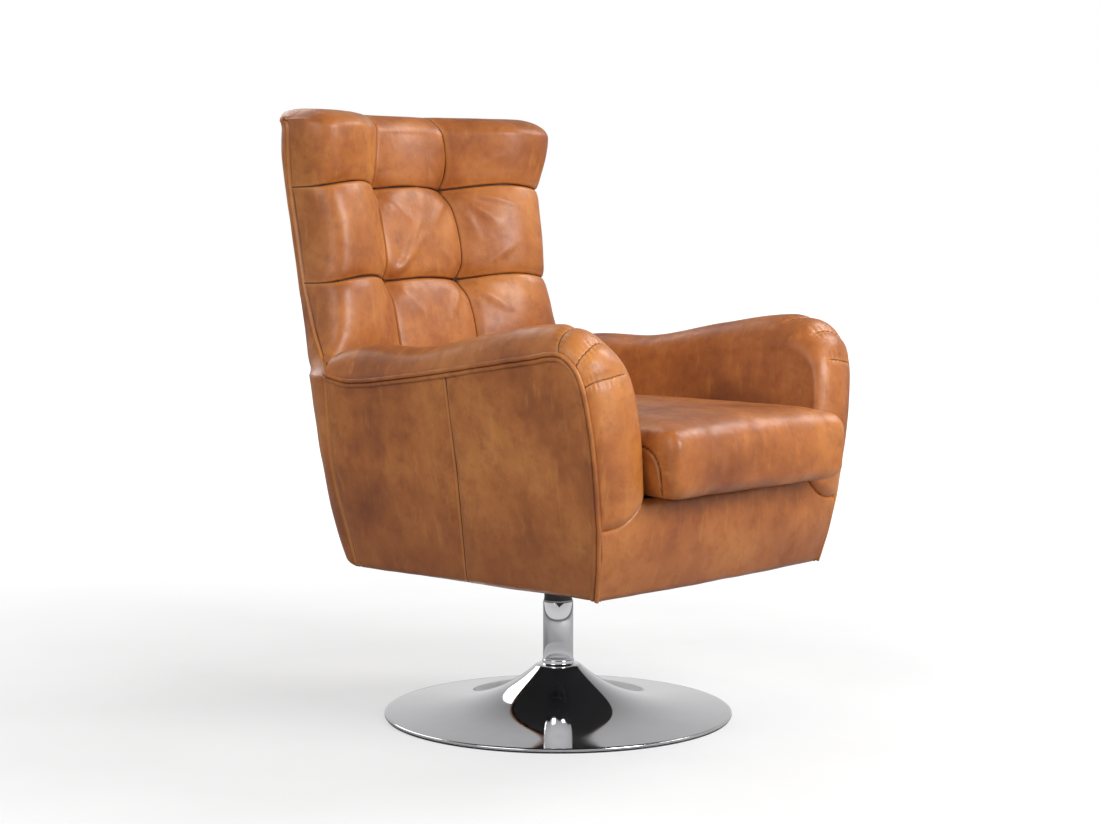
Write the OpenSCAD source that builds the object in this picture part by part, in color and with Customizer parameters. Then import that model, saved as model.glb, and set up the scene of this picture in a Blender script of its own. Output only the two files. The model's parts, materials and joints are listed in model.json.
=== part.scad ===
// Leather armchair on a round swivel foot, in millimetres.
// The floor is z = 0, the swivel axis is the Z axis and the sitter faces -Y.

/* [Foot] */
// Diameter of the round foot
foot_d = 575; // [500:1:640]
// Height of the foot's rim above the floor
foot_rim_h = 7; // [6.5:0.5:12]
// Height of the flared foot at its neck
neck_z = 83; // [70:1:95]
// Diameter of the flared foot at its neck
neck_d = 74; // [62:1:84]
// Wall of the spun foot
spun_wall = 2; // [1.5:0.1:3]
// Sharpness of the flare, higher for a flatter skirt
flare = 3; // [2.6:0.1:3.6]
// Height of the foot ring that touches the floor
glide_h = 3; // [2:0.5:4]
// Diameter of the cast weight under the skirt
weight_d = 200; // [160:1:220]
// Height of the cast weight
weight_h = 14; // [10:1:18]

/* [Column] */
// Outside diameter of the column tube
column_d = 50; // [44:1:54]
// Wall of the column tube
column_wall = 3; // [2:0.5:4]
// Height of the column tube's top above the floor
column_top_z = 189; // [175:1:200]
// Diameter of the turning spindle
spindle_d = 30; // [26:1:34]
// Radial running gap of the spindle in its bushes
running_gap = 0.05; // [0.02:0.01:0.1]
// Length of each bush
bush_len = 26; // [20:1:32]
// Diameter of the black boss above the column
boss_d = 46; // [42:1:50]
// Thickness of the swivel plate
plate_t = 6; // [4:1:8]
// Hole spacing of the swivel plate, both ways
plate_pitch = 200; // [180:1:220]
// Diameter of the plate bolts
bolt_d = 8; // [6:1:10]

/* [Body] */
// Height of the underside above the floor
underside_z = 257; // [250:1:275]
// Half width of the body at its underside
foot_half_w = 277; // [270:1:300]
// Outward lean of the sides, run over rise
side_lean = 0.17; // [0.12:0.01:0.2]
// Distance of the front face from the swivel axis, at the underside
front_reach = 325; // [315:1:345]
// Distance of the side panels' rear seam from the axis, at the underside
rear_reach = 186; // [180:1:200]
// Thickness of the leather with its wadding
skin_t = 5; // [4:0.5:6]
// Diameter of each cord of the double welt
welt_d = 7.5; // [6:0.5:9]

/* [Arms] */
// Height of the arms' highest point
arm_top_z = 660; // [640:1:690]
// Width of each arm at the deck, measured from the side's foot
arm_w = 68; // [62:1:77]
// Outward lean of the arms' inner faces, run over rise
inner_lean = 0.125; // [0.08:0.005:0.14]

/* [Seat] */
// Height of the deck that carries the cushion
deck_z = 405; // [395:1:410]
// Thickness of the cushion at its seams
cushion_t = 104; // [90:1:115]
// Rise of the cushion's crown above its top seam
crown_h = 20; // [10:1:28]
// Distance of the cushion's front seam from the axis
cushion_front = 396; // [380:1:405]
// How far the cushion's border bulges
border_bulge = 24; // [14:1:28]
// Clearance round the cushion
cushion_gap = 1.5; // [1:0.1:4]

/* [Back] */
// Height of the back's top edge
back_top_z = 999; // [970:1:1040]
// Slope of the back, run over rise
back_slope = 0.235; // [0.21:0.005:0.25]
// Distance of the tufts behind the side panels' rear seam, at the arms' top height
back_set = 122; // [118:1:126]
// Half distance between the two columns of tufts
tuft_half_pitch = 85; // [75:1:95]

/* [Timber] */
// Thickness of the timber rails
rail_t = 24; // [20:1:26]
// Height of the seat rails
rail_h = 66; // [60:1:70]
// Thickness of the plywood arm and back frames
ply_t = 14; // [10:1:16]

/* [Hidden] */

leather = "#a8632f";
chrome = "#d8dade";
black_steel = "#26262a";
timber = "#c9a878";
foam = "#e6dcae";
cloth = "#2c2b2a";
plastic = "#eeeade";

seam_gap = 0.6;
seat_gap = 0.3;
inner_half_w = foot_half_w - arm_w;
tuft_reach = rear_reach + back_set;
round_fn = 96;
axis_fn = 64;

// Points of a smooth curve through keys, with steps points in each span
function span(k, i) = max(0.001, norm(k[i + 1] - k[i]));
function slope_at(k, i) =
    i == 0 ? (k[1] - k[0]) / span(k, 0)
    : i == len(k) - 1 ? (k[i] - k[i - 1]) / span(k, i - 1)
    : (k[i + 1] - k[i - 1]) / (span(k, i) + span(k, i - 1));
function curve_point(k, i, f) =
    (2 * f * f * f - 3 * f * f + 1) * k[i] + (f * f * f - 2 * f * f + f) * span(k, i) * slope_at(k, i)
    + (3 * f * f - 2 * f * f * f) * k[i + 1] + (f * f * f - f * f) * span(k, i) * slope_at(k, i + 1);
function curve(k, steps) =
    [for (i = [0 : len(k) - 2], s = [0 : steps - 1]) curve_point(k, i, s / steps), k[len(k) - 1]];

function unit(v) = v / norm(v);
function power(value, exponent) = sign(value) * pow(abs(value), exponent);

// A closed sheet between two grids of points that have the same rows and columns
module sheet(front, back) {
    m = len(front);
    n = len(front[0]);
    function id(side, i, j) = side * m * n + i * n + j;
    polyhedron(
        points = [for (grid = [front, back], row = grid, p = row) p],
        faces = [
            for (i = [0 : m - 2], j = [0 : n - 2]) each [
                [id(0, i, j + 1), id(0, i, j), id(0, i + 1, j + 1)],
                [id(0, i + 1, j + 1), id(0, i, j), id(0, i + 1, j)],
                [id(1, i + 1, j + 1), id(1, i, j), id(1, i, j + 1)],
                [id(1, i + 1, j), id(1, i, j), id(1, i + 1, j + 1)]
            ],
            for (i = [0 : m - 2]) each [
                [id(0, i + 1, 0), id(0, i, 0), id(1, i + 1, 0)],
                [id(1, i + 1, 0), id(0, i, 0), id(1, i, 0)],
                [id(0, i, n - 1), id(0, i + 1, n - 1), id(1, i, n - 1)],
                [id(1, i, n - 1), id(0, i + 1, n - 1), id(1, i + 1, n - 1)]
            ],
            for (j = [0 : n - 2]) each [
                [id(0, 0, j), id(0, 0, j + 1), id(1, 0, j)],
                [id(1, 0, j), id(0, 0, j + 1), id(1, 0, j + 1)],
                [id(0, m - 1, j + 1), id(0, m - 1, j), id(1, m - 1, j + 1)],
                [id(1, m - 1, j + 1), id(0, m - 1, j), id(1, m - 1, j)]
            ]
        ],
        convexity = 6
    );
}

// A closed solid through rings of points, with a flat cap on the first and the last
module lofted(rings) {
    m = len(rings);
    n = len(rings[0]);
    polyhedron(
        points = [for (ring = rings, p = ring) p],
        faces = [
            [for (j = [0 : n - 1]) j],
            [for (j = [n - 1 : -1 : 0]) (m - 1) * n + j],
            for (i = [0 : m - 2], j = [0 : n - 1]) let (k = (j + 1) % n) each [
                [i * n + k, i * n + j, (i + 1) * n + k],
                [(i + 1) * n + k, i * n + j, (i + 1) * n + j]
            ]
        ],
        convexity = 6
    );
}

// The body's planes: outer side, inner side of the arm, and the frame angles that follow them
function side_x(z) = foot_half_w + side_lean * (z - underside_z);
function inner_x(z) = inner_half_w + inner_lean * (z - deck_z);
side_angle = atan(side_lean);
inner_angle = atan(inner_lean);

front_y = -front_reach;
seam_z = underside_z + 109;
mid_seam_y = -66;
mid_seam_run = 8;
knee_h = 50;
knee_out = 12;
front_out = 21;
side_top_z = arm_top_z - 94;
low_back_z = underside_z + 169;

// Line of the double welt as [y, z], from the rear end of the arm to the underside
welt_keys = [
    [rear_reach + 17, arm_top_z - 93], [rear_reach - 36, arm_top_z - 101], [20, arm_top_z - 88],
    [-120, arm_top_z - 68], [front_y + 75, arm_top_z - 49], [front_y + 20, arm_top_z - 44],
    [front_y - 9, arm_top_z - 70], [front_y - 20, arm_top_z - 140], [front_y - front_out, seam_z + 64],
    [front_y - front_out, seam_z]
];
// Line of the arm's ridge and line of its inner edge, key for key with the welt's
ridge_keys = [
    [rear_reach + 34, arm_top_z - 53], [rear_reach - 36, arm_top_z - 43], [20, arm_top_z - 42],
    [-126, arm_top_z - 17], [front_y + 60, arm_top_z], [front_y + 6, arm_top_z - 14],
    [front_y - 34, arm_top_z - 57], [front_y - 46, arm_top_z - 140], [front_y - 44, seam_z + 70],
    [front_y - 35, seam_z]
];
inner_keys = [
    [rear_reach + 42, arm_top_z - 88], [rear_reach - 36, arm_top_z - 98], [20, arm_top_z - 86],
    [-120, arm_top_z - 70], [front_y + 75, arm_top_z - 57], [front_y + 20, arm_top_z - 60],
    [front_y - 14, arm_top_z - 86], [front_y - 26, arm_top_z - 150], [front_y - 26, seam_z + 64],
    [front_y - 25, seam_z]
];

// Rear seam of the side panels as [y, z], from the top down
rear_seam = [
    [rear_reach + 17, side_top_z], [rear_reach + 28, low_back_z], [rear_reach, underside_z]
];

// FOOT AND COLUMN

foot_r = foot_d / 2;
column_r = column_d / 2;
spindle_r = spindle_d / 2;
rim_r = 1.5;
glide_w = 20;
pan_t = 1.2;
pan_z = glide_h;
flare_steps = 28;

// Height of the skirt's outer face at a radius
function skirt_z(r) =
    foot_rim_h + (neck_z - foot_rim_h) * pow((foot_r - r) / (foot_r - neck_d / 2), flare);

function skirt_profile() = [
    for (i = [0 : flare_steps]) let (r = neck_d / 2 + (foot_r - rim_r - neck_d / 2) * i / flare_steps)
        [r, skirt_z(r)],
    [foot_r, foot_rim_h - rim_r],
    [foot_r, glide_h],
    [foot_r - spun_wall, glide_h],
    [foot_r - spun_wall, foot_rim_h - spun_wall - 0.5],
    for (i = [flare_steps - 1 : -1 : 0])
        let (r = neck_d / 2 + (foot_r - spun_wall * 2 - neck_d / 2) * i / flare_steps)
        [max(r, column_r), skirt_z(r) - spun_wall * 1.2 - (i == 0 ? spun_wall : 0)],
    [column_r, neck_z - spun_wall * 2],
    [column_r, neck_z]
];

module foot_skirt() {
    color(chrome) rotate_extrude($fn = round_fn) polygon(skirt_profile());
}

module foot_glide_ring() {
    color(black_steel) rotate_extrude($fn = round_fn)
        translate([foot_r - spun_wall - glide_w, 0]) square([glide_w, glide_h]);
}

module foot_pan() {
    color(black_steel) difference() {
        translate([0, 0, pan_z]) cylinder(r = foot_r - spun_wall, h = pan_t, $fn = round_fn);
        translate([0, 0, pan_z - 1]) cylinder(r = column_r, h = pan_t + 2, $fn = axis_fn);
    }
}

module foot_weight() {
    color(black_steel) difference() {
        translate([0, 0, pan_z + pan_t]) cylinder(d = weight_d, h = weight_h, $fn = round_fn);
        translate([0, 0, pan_z]) cylinder(r = column_r, h = weight_h + pan_t + 2, $fn = axis_fn);
    }
}

column_foot_z = pan_z;
collar_t = 1.5;
collar_h = 9;

module column_tube() {
    color(chrome) difference() {
        translate([0, 0, column_foot_z])
            cylinder(r = column_r, h = column_top_z - column_foot_z, $fn = axis_fn);
        translate([0, 0, column_foot_z - 1])
            cylinder(r = column_r - column_wall, h = column_top_z - column_foot_z + 2, $fn = axis_fn);
    }
}

module column_collar() {
    color(chrome) rotate_extrude($fn = axis_fn)
        polygon([
            [column_r, neck_z], [column_r + collar_t, neck_z], [column_r + collar_t, neck_z + collar_h - 1],
            [column_r + collar_t - 0.8, neck_z + collar_h], [column_r, neck_z + collar_h]
        ]);
}

module bush(z) {
    color(plastic) difference() {
        translate([0, 0, z]) cylinder(r = column_r - column_wall, h = bush_len, $fn = axis_fn);
        translate([0, 0, z - 1]) cylinder(r = spindle_r + running_gap, h = bush_len + 2, $fn = axis_fn);
    }
}

lower_bush_z = 52;
washer_t = 2;

module upper_bush() {
    bush(column_top_z - bush_len);
}

module lower_bush() {
    bush(lower_bush_z);
}

module thrust_washer() {
    color(plastic) difference() {
        translate([0, 0, column_top_z]) cylinder(r = column_r - 1, h = washer_t, $fn = axis_fn);
        translate([0, 0, column_top_z - 1])
            cylinder(r = spindle_r + running_gap, h = washer_t + 2, $fn = axis_fn);
    }
}

// SWIVEL

boss_z = column_top_z + washer_t;
boss_flare = 8;
plate_z = underside_z + 5;
spindle_foot_z = lower_bush_z - 1;
retainer_t = 3;
retainer_hole_d = 8;
retainer_head_d = 16;
retainer_head_h = 6;
retainer_depth = 28;

module spindle() {
    color(chrome) difference() {
        translate([0, 0, spindle_foot_z])
            cylinder(r = spindle_r, h = plate_z - spindle_foot_z, $fn = axis_fn);
        translate([0, 0, spindle_foot_z - 1])
            cylinder(d = retainer_hole_d, h = retainer_depth + 1, $fn = 32);
    }
}

module retaining_washer() {
    color(chrome) difference() {
        translate([0, 0, spindle_foot_z - retainer_t])
            cylinder(r = column_r - column_wall - 1, h = retainer_t, $fn = axis_fn);
        translate([0, 0, spindle_foot_z - retainer_t - 1])
            cylinder(d = retainer_hole_d, h = retainer_t + 2, $fn = 32);
    }
}

module retaining_bolt() {
    color(black_steel) {
        translate([0, 0, spindle_foot_z - retainer_t]) {
            cylinder(d = retainer_hole_d, h = retainer_depth - 2 + retainer_t, $fn = 32);
            translate([0, 0, -retainer_head_h]) cylinder(d = retainer_head_d, h = retainer_head_h, $fn = 6);
        }
    }
}

module swivel_boss() {
    color(black_steel) difference() {
        rotate_extrude($fn = axis_fn) polygon([
            [0, boss_z], [boss_d / 2, boss_z], [boss_d / 2, plate_z - boss_flare],
            [boss_d / 2 + boss_flare, plate_z], [0, plate_z]
        ]);
        translate([0, 0, boss_z - 1]) cylinder(r = spindle_r, h = plate_z - boss_z + 2, $fn = axis_fn);
    }
}

plate_margin = 18;
plate_hub_d = 126;
plate_arm_w = 50;

module bolt_places() {
    for (x = [-1, 1], y = [-1, 1]) translate([x * plate_pitch / 2, y * plate_pitch / 2, 0]) children();
}

module swivel_plate() {
    reach = plate_pitch * sqrt(2) / 2 + plate_margin;
    color(black_steel) difference() {
        translate([0, 0, plate_z]) linear_extrude(plate_t) union() {
            circle(d = plate_hub_d, $fn = axis_fn);
            for (a = [45, 135]) rotate(a) square([reach * 2, plate_arm_w], center = true);
        }
        bolt_places() translate([0, 0, plate_z - 1]) cylinder(d = bolt_d, h = plate_t + 2, $fn = 32);
    }
}

bearer_w = 50;
bearer_h = 34;
bolt_head_h = 5;
bolt_head_d = bolt_d * 1.7;
bolt_grip = 26;

module plate_bolts() {
    color(black_steel) bolt_places() {
        translate([0, 0, plate_z - bolt_head_h]) cylinder(d = bolt_head_d, h = bolt_head_h, $fn = 6);
        translate([0, 0, plate_z]) cylinder(d = bolt_d, h = plate_t + bolt_grip, $fn = 32);
    }
}

// TIMBER FRAME

side_room = 7;
front_room = 6;
rear_room = 4;
rail_z = underside_z + 3;
rail_x = foot_half_w - skin_t - side_room;
rail_front_y = front_y + skin_t + front_room;
rail_rear_y = rear_reach - rear_room;
bearer_z = plate_z + plate_t;

module bearer(side) {
    color(timber) difference() {
        translate([side * plate_pitch / 2 - bearer_w / 2, rail_front_y + rail_t, bearer_z])
            cube([bearer_w, rail_rear_y - rail_front_y - 2 * rail_t, bearer_h]);
        bolt_places() translate([0, 0, bearer_z - 1]) cylinder(d = bolt_d, h = bolt_grip + 1, $fn = 32);
    }
}

module left_bearer() {
    bearer(1);
}

module right_bearer() {
    bearer(-1);
}

module side_rail() {
    color(timber) translate([rail_x - rail_t, rail_front_y, rail_z])
        cube([rail_t, rail_rear_y - rail_front_y, rail_h]);
}

module side_rail_left() {
    side_rail();
}

module side_rail_right() {
    mirror([1, 0, 0]) side_rail();
}

module cross_rail(y, h) {
    color(timber) translate([-(rail_x - rail_t), y, rail_z]) cube([2 * (rail_x - rail_t), rail_t, h]);
}

rail_top_z = deck_z - 9;
front_rail_h = rail_top_z - rail_z;

module front_rail() {
    cross_rail(rail_front_y, front_rail_h);
}

module rear_rail() {
    cross_rail(rail_rear_y - rail_t, front_rail_h);
}

block_leg = 42;
block_h = 20;
block_z = bearer_z + bearer_h + 1;

module corner_blocks() {
    x = rail_x - rail_t;
    color(timber) for (side = [-1, 1]) scale([side, 1, 1]) {
        translate([x, rail_front_y + rail_t, block_z]) linear_extrude(block_h)
            polygon([[0, 0], [-block_leg, 0], [0, block_leg]]);
        translate([x, rail_rear_y - rail_t, block_z]) linear_extrude(block_h)
            polygon([[0, 0], [0, -block_leg], [-block_leg, 0]]);
    }
}

arm_frame_z = rail_z + rail_h;
arm_frame_drop = 34;
post_w = 46;
arm_frame_foot = 0.7;

// Outline of the plywood arm frame as [y, z]
function arm_frame_outline(inset) = [
    [rail_front_y + inset, arm_frame_z + inset * arm_frame_foot],
    [rail_front_y + inset, arm_top_z - arm_frame_drop - 70 - inset * 0.6],
    [rail_front_y + 46 + inset * 0.4, arm_top_z - arm_frame_drop - 28 - inset],
    [-60, arm_top_z - arm_frame_drop - 54 - inset],
    [rail_rear_y - inset, arm_top_z - arm_frame_drop - 78 - inset],
    [rail_rear_y - inset, arm_frame_z + inset * arm_frame_foot]
];

module arm_frame() {
    color(timber) translate([rail_x - rail_t, 0, 0]) rotate([90, 0, 90]) linear_extrude(ply_t)
        difference() {
            polygon(arm_frame_outline(0));
            polygon(arm_frame_outline(post_w));
        }
}

module arm_frame_left() {
    arm_frame();
}

module arm_frame_right() {
    mirror([1, 0, 0]) arm_frame();
}

// Plane that the back pad lies on, behind its tufts
back_angle = atan(back_slope);
pad_back_gap = 8;
function tuft_y(z) = tuft_reach + back_slope * (z - arm_top_z);
function board_y(z) = tuft_y(z) + pad_back_gap;
board_half_w = 158;
board_lap = 52;
board_drop = 46;
board_foot_z = rail_z + board_lap;
board_top_z = back_top_z - board_drop;
board_post = 50;
bar_half_h = 24;
bar_foot_h = 40;

// Distance up the back frame's slope at a height
function board_s(z) = (z - board_foot_z) / cos(back_angle);
// Windows of the back frame along its slope, between cross bars at the rows of tufts
function board_windows() = [
    [bar_foot_h, board_s(row_z[1]) - bar_half_h],
    [board_s(row_z[1]) + bar_half_h, board_s(row_z[2]) - bar_half_h],
    [board_s(row_z[2]) + bar_half_h, board_s(row_z[3]) - bar_half_h]
];

// The back frame in its own plane: width by length along the slope
module back_frame() {
    color(timber) translate([0, board_y(board_foot_z) + seat_gap, board_foot_z])
        rotate([90 - back_angle, 0, 0]) translate([0, 0, -ply_t]) linear_extrude(ply_t) difference() {
            translate([-board_half_w, 0]) square([board_half_w * 2, board_s(board_top_z)]);
            for (window = board_windows())
                translate([-board_half_w + board_post, window[0]])
                    square([2 * (board_half_w - board_post), window[1] - window[0]]);
        }
}

// Blocks that join the back frame's posts to the rear rail
module back_blocks() {
    color(timber) for (side = [-1, 1])
        translate([side * (board_half_w - board_post / 2) - board_post / 2, 0, 0])
            rotate([90, 0, 90]) linear_extrude(board_post) polygon([
                [rail_rear_y, board_foot_z], [board_y(board_foot_z), board_foot_z],
                [board_y(rail_top_z), rail_top_z], [rail_rear_y, rail_top_z]
            ]);
}

web_w = 48;
web_t = 1.6;
web_margin = 14;

module back_webbing() {
    color(cloth) translate([0, board_y(board_foot_z), board_foot_z]) rotate([90 - back_angle, 0, 0])
        for (window = board_windows())
            translate([web_margin - board_half_w, (window[0] + window[1] - web_w) / 2, 0])
                cube([2 * (board_half_w - web_margin), web_w, web_t]);
}

// SEAT DECK

spring_wire = 3.6;
spring_count = 5;
spring_pitch = 76;
spring_turns = 14;
spring_half_w = 20;
spring_front_y = rail_front_y + rail_t / 2;
spring_rear_y = rail_rear_y - rail_t / 2;
zigzag_step = (spring_rear_y - spring_front_y) / spring_turns;

// Corner points of one zigzag spring in plan
function zigzag() = [
    [0, spring_front_y],
    for (i = [1 : spring_turns - 1])
        [(i % 2 == 0 ? -1 : 1) * spring_half_w, spring_front_y + i * zigzag_step],
    [0, spring_rear_y]
];

// One side of the spring's wire in plan, mitred at each bend
function zigzag_edge(side) =
    let (k = zigzag(), n = len(k))
    [for (i = [0 : n - 1]) let (
        before = unit(k[max(1, i)] - k[max(0, i - 1)]),
        after = unit(k[min(n - 1, i + 1)] - k[min(n - 2, i)]),
        across = unit([-before[1] - after[1], before[0] + after[0]]))
        k[i] + side * across * spring_wire / 2 / (across * [-before[1], before[0]])];

module seat_springs() {
    left = zigzag_edge(1);
    right = zigzag_edge(-1);
    color(black_steel) for (s = [0 : spring_count - 1])
        translate([(s - (spring_count - 1) / 2) * spring_pitch, 0, rail_top_z + seat_gap])
            linear_extrude(spring_wire)
                polygon([each right, for (i = [len(left) - 1 : -1 : 0]) left[i]]);
}

clip_w = 20;
clip_l = 18;
clip_t = 2;
clip_rise = spring_wire + 2 * seat_gap;

// Bridge-shaped clips that hold the springs' ends down on the rails
module spring_clips() {
    color(black_steel) for (s = [0 : spring_count - 1], y = [spring_front_y, spring_rear_y])
        translate([(s - (spring_count - 1) / 2) * spring_pitch - clip_w / 2, y - clip_l / 2, rail_top_z])
            difference() {
                cube([clip_w, clip_l, clip_rise + clip_t]);
                translate([clip_t, -1, -1]) cube([clip_w - 2 * clip_t, clip_l + 2, clip_rise + 1]);
            }
}

deck_t = 2;
deck_half_w = inner_x(deck_z) - 2 * seam_gap;
deck_front_y = front_y - 14;
deck_rear_y = rear_reach + 54;

module seat_deck() {
    color(cloth) translate([0, 0, deck_z - deck_t]) linear_extrude(deck_t)
        polygon([
            [-deck_half_w, deck_front_y], [deck_half_w, deck_front_y],
            [deck_half_w, deck_rear_y], [-deck_half_w, deck_rear_y]
        ]);
}

dust_t = 1.5;
dust_inset = skin_t + 2 * seam_gap;
dust_corner_x = 50;
dust_corner_y = 24;
boss_room = 24;
bolt_room = 4;

module dust_cover() {
    half = foot_half_w - dust_inset;
    rear_half = foot_half_w - dust_corner_x;
    color(cloth) difference() {
        translate([0, 0, underside_z + 1]) linear_extrude(dust_t) polygon([
            [-half, front_y + dust_inset], [half, front_y + dust_inset],
            [half, rear_reach - 2], [rear_half, rear_reach + dust_corner_y],
            [-rear_half, rear_reach + dust_corner_y], [-half, rear_reach - 2]
        ]);
        cylinder(d = boss_d + boss_room, h = underside_z + 10, $fn = axis_fn);
        bolt_places() cylinder(d = bolt_head_d + bolt_room, h = underside_z + 10, $fn = 32);
    }
}

// ARMS

arm_steps = 2;
arm_arc = 8;

// Section of the arm at one station: a rounded ridge between the welt and the inner edge
function arm_section(welt, ridge, inner, depth, arc) =
    let (
        outer_p = [side_x(welt[1]), welt[0], welt[1]],
        inner_p = [inner_x(inner[1]), inner[0], inner[1]],
        middle = (outer_p + inner_p) / 2,
        crest = [middle[0], ridge[0], ridge[1]]
    )
    [for (a = [0 : arc]) let (
        t = 180 * a / arc,
        p = middle + (outer_p - middle) * cos(t) + (crest - middle) * sin(t))
        p + unit(middle - p) * depth];

function arm_grid(depth, steps, arc) =
    let (w = curve(welt_keys, steps), r = curve(ridge_keys, steps), q = curve(inner_keys, steps))
    [for (i = [0 : len(w) - 1]) arm_section(w[i], r[i], q[i], depth, arc)];

module arm_cover() {
    color(leather) sheet(arm_grid(0, arm_steps, arm_arc), arm_grid(skin_t, arm_steps, arm_arc));
}

module arm_cover_left() {
    arm_cover();
}

module arm_cover_right() {
    mirror([1, 0, 0]) arm_cover();
}

foam_t = 14;

module arm_foam() {
    color(foam) sheet(arm_grid(skin_t + 3, 1, 6), arm_grid(skin_t + foam_t, 1, 6));
}

module arm_foam_left() {
    arm_foam();
}

module arm_foam_right() {
    mirror([1, 0, 0]) arm_foam();
}

// Flat panel on the leaning outer side plane, from an outline of [y, z]
module on_side_plane(outline) {
    translate([foot_half_w, 0, underside_z]) rotate([0, side_angle, 0]) rotate([90, 0, 90])
        translate([0, 0, -skin_t]) linear_extrude(skin_t)
            polygon([for (p = outline) [p[0], (p[1] - underside_z) / cos(side_angle)]]);
}

// The side panels and the arm's inside stop short of the arm cover by this much, under the seams
tuck_gap = 1.5;
welt_line = [
    for (p = curve(welt_keys, arm_steps)) p + [tuck_gap, -tuck_gap],
    [front_y + tuck_gap, underside_z]
];
function before_seam(p) = p[0] < mid_seam_y - 4;
function behind_seam(p) = p[0] > mid_seam_y + 4;
function welt_z(y) = lookup(y, [for (p = welt_line) if (p[1] > arm_top_z - 120) [p[0], p[1]]]);

module side_front() {
    color(leather) on_side_plane([
        [mid_seam_y - seam_gap / 2, welt_z(mid_seam_y)],
        for (p = welt_line) if (before_seam(p)) p,
        [mid_seam_y + mid_seam_run - seam_gap / 2, underside_z]
    ]);
}

module side_rear() {
    color(leather) on_side_plane([
        [mid_seam_y + mid_seam_run + seam_gap / 2, underside_z],
        for (i = [len(rear_seam) - 1 : -1 : 0]) rear_seam[i] - [seam_gap, i == 0 ? seam_gap : 0],
        for (p = welt_line) if (behind_seam(p) && p[0] < rear_reach) p,
        [mid_seam_y + seam_gap / 2, welt_z(mid_seam_y)]
    ]);
}

module side_front_left() {
    side_front();
}

module side_front_right() {
    mirror([1, 0, 0]) side_front();
}

module side_rear_left() {
    side_rear();
}

module side_rear_right() {
    mirror([1, 0, 0]) side_rear();
}

inside_foot_z = rail_top_z + 4 * seat_gap;
inside_rear_y = rear_reach + 52;

// Inner arm panel, on the plane that leans outwards from the seat
module arm_inside() {
    line = [for (p = curve(inner_keys, arm_steps)) p + [tuck_gap, -tuck_gap]];
    outline = [
        [inside_rear_y, inside_foot_z], [inside_rear_y, line[0][1]],
        for (p = line) if (p[1] > inside_foot_z) p,
        [inner_keys[len(inner_keys) - 1][0] + tuck_gap, inside_foot_z]
    ];
    color(leather) translate([inner_half_w, 0, deck_z]) rotate([0, inner_angle, 0]) rotate([90, 0, 90])
        linear_extrude(skin_t)
            polygon([for (p = outline) [p[0], (p[1] - deck_z) / cos(inner_angle)]]);
}

module arm_inside_left() {
    arm_inside();
}

module arm_inside_right() {
    mirror([1, 0, 0]) arm_inside();
}

// Section of the double welt: two cords side by side, pressed flat against the seam
welt_flat = 0.7;
function welt_section() = [
    for (a = [-60 : 40 : 180]) [welt_d / 2 * (1 + cos(a)), welt_d / 2 * (1 + sin(a)) * welt_flat],
    for (a = [0 : 40 : 240]) [-welt_d / 2 * (1 - cos(a)), welt_d / 2 * (1 + sin(a)) * welt_flat]
];

welt_path = curve([
    each welt_keys, [front_y - knee_out, underside_z + knee_h], [front_y, underside_z]
], 3);

module arm_welt() {
    n = len(welt_path);
    rings = [for (i = [n - 1 : -1 : 0]) let (
        p = welt_path[i],
        step = unit(welt_path[min(n - 1, i + 1)] - welt_path[max(0, i - 1)]),
        across = [step[1], -step[0]])
        [for (c = welt_section())
            let (z = p[1] + across[1] * c[0])
            [side_x(z) + seat_gap + c[1], p[0] + across[0] * c[0], z]]
    ];
    color(leather) lofted(rings);
}

module arm_welt_left() {
    arm_welt();
}

module arm_welt_right() {
    mirror([1, 0, 0]) arm_welt();
}

// FRONT AND BACK SKINS

front_crown = 9;
front_top_z = deck_z - 1;
front_steps = 10;
function front_line_y(z) = lookup(z, [
    [underside_z, front_y], [underside_z + knee_h, front_y - knee_out], [seam_z, front_y - front_out],
    [front_top_z, front_y - front_out]
]);
function crown_y(x, z) = front_line_y(z) - front_crown * (1 - pow(abs(x / side_x(z)), 4));

function front_grid(z_list, half_w, depth) = [
    for (z = z_list) [for (i = [-front_steps : front_steps]) let (x = half_w(z) * i / front_steps)
        [x, crown_y(x, z) + depth, z]]
];

module front_panel() {
    low = [underside_z, underside_z + knee_h, seam_z - seam_gap];
    high = [seam_z - seam_gap, front_top_z];
    wide = function (z) side_x(z) - skin_t - seam_gap;
    narrow = function (z) inner_x(z) - seam_gap;
    color(leather) union() {
        sheet(front_grid(low, wide, 0), front_grid(low, wide, skin_t));
        sheet(front_grid(high, narrow, 0), front_grid(high, narrow, skin_t));
    }
}

// Height at a share of the way from the arms' top to the back's top
function above_arms(share) = arm_top_z + share * (back_top_z - arm_top_z);
waist_z = above_arms(0.32);
shoulder_z = above_arms(0.645);
roll_z = back_top_z - 34;
brow_z = back_top_z - 12;

// Half width of the back at its rear seam, by height
back_seam_x = [
    [underside_z, foot_half_w], [side_top_z, side_x(side_top_z)], [side_top_z + 12, foot_half_w + 29],
    [side_top_z + 34, foot_half_w + 9], [arm_top_z - 5, foot_half_w - 6], [waist_z, foot_half_w - 14],
    [shoulder_z, foot_half_w - 5], [roll_z, foot_half_w + 9], [brow_z, foot_half_w + 9],
    [back_top_z, foot_half_w + 3]
];
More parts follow.
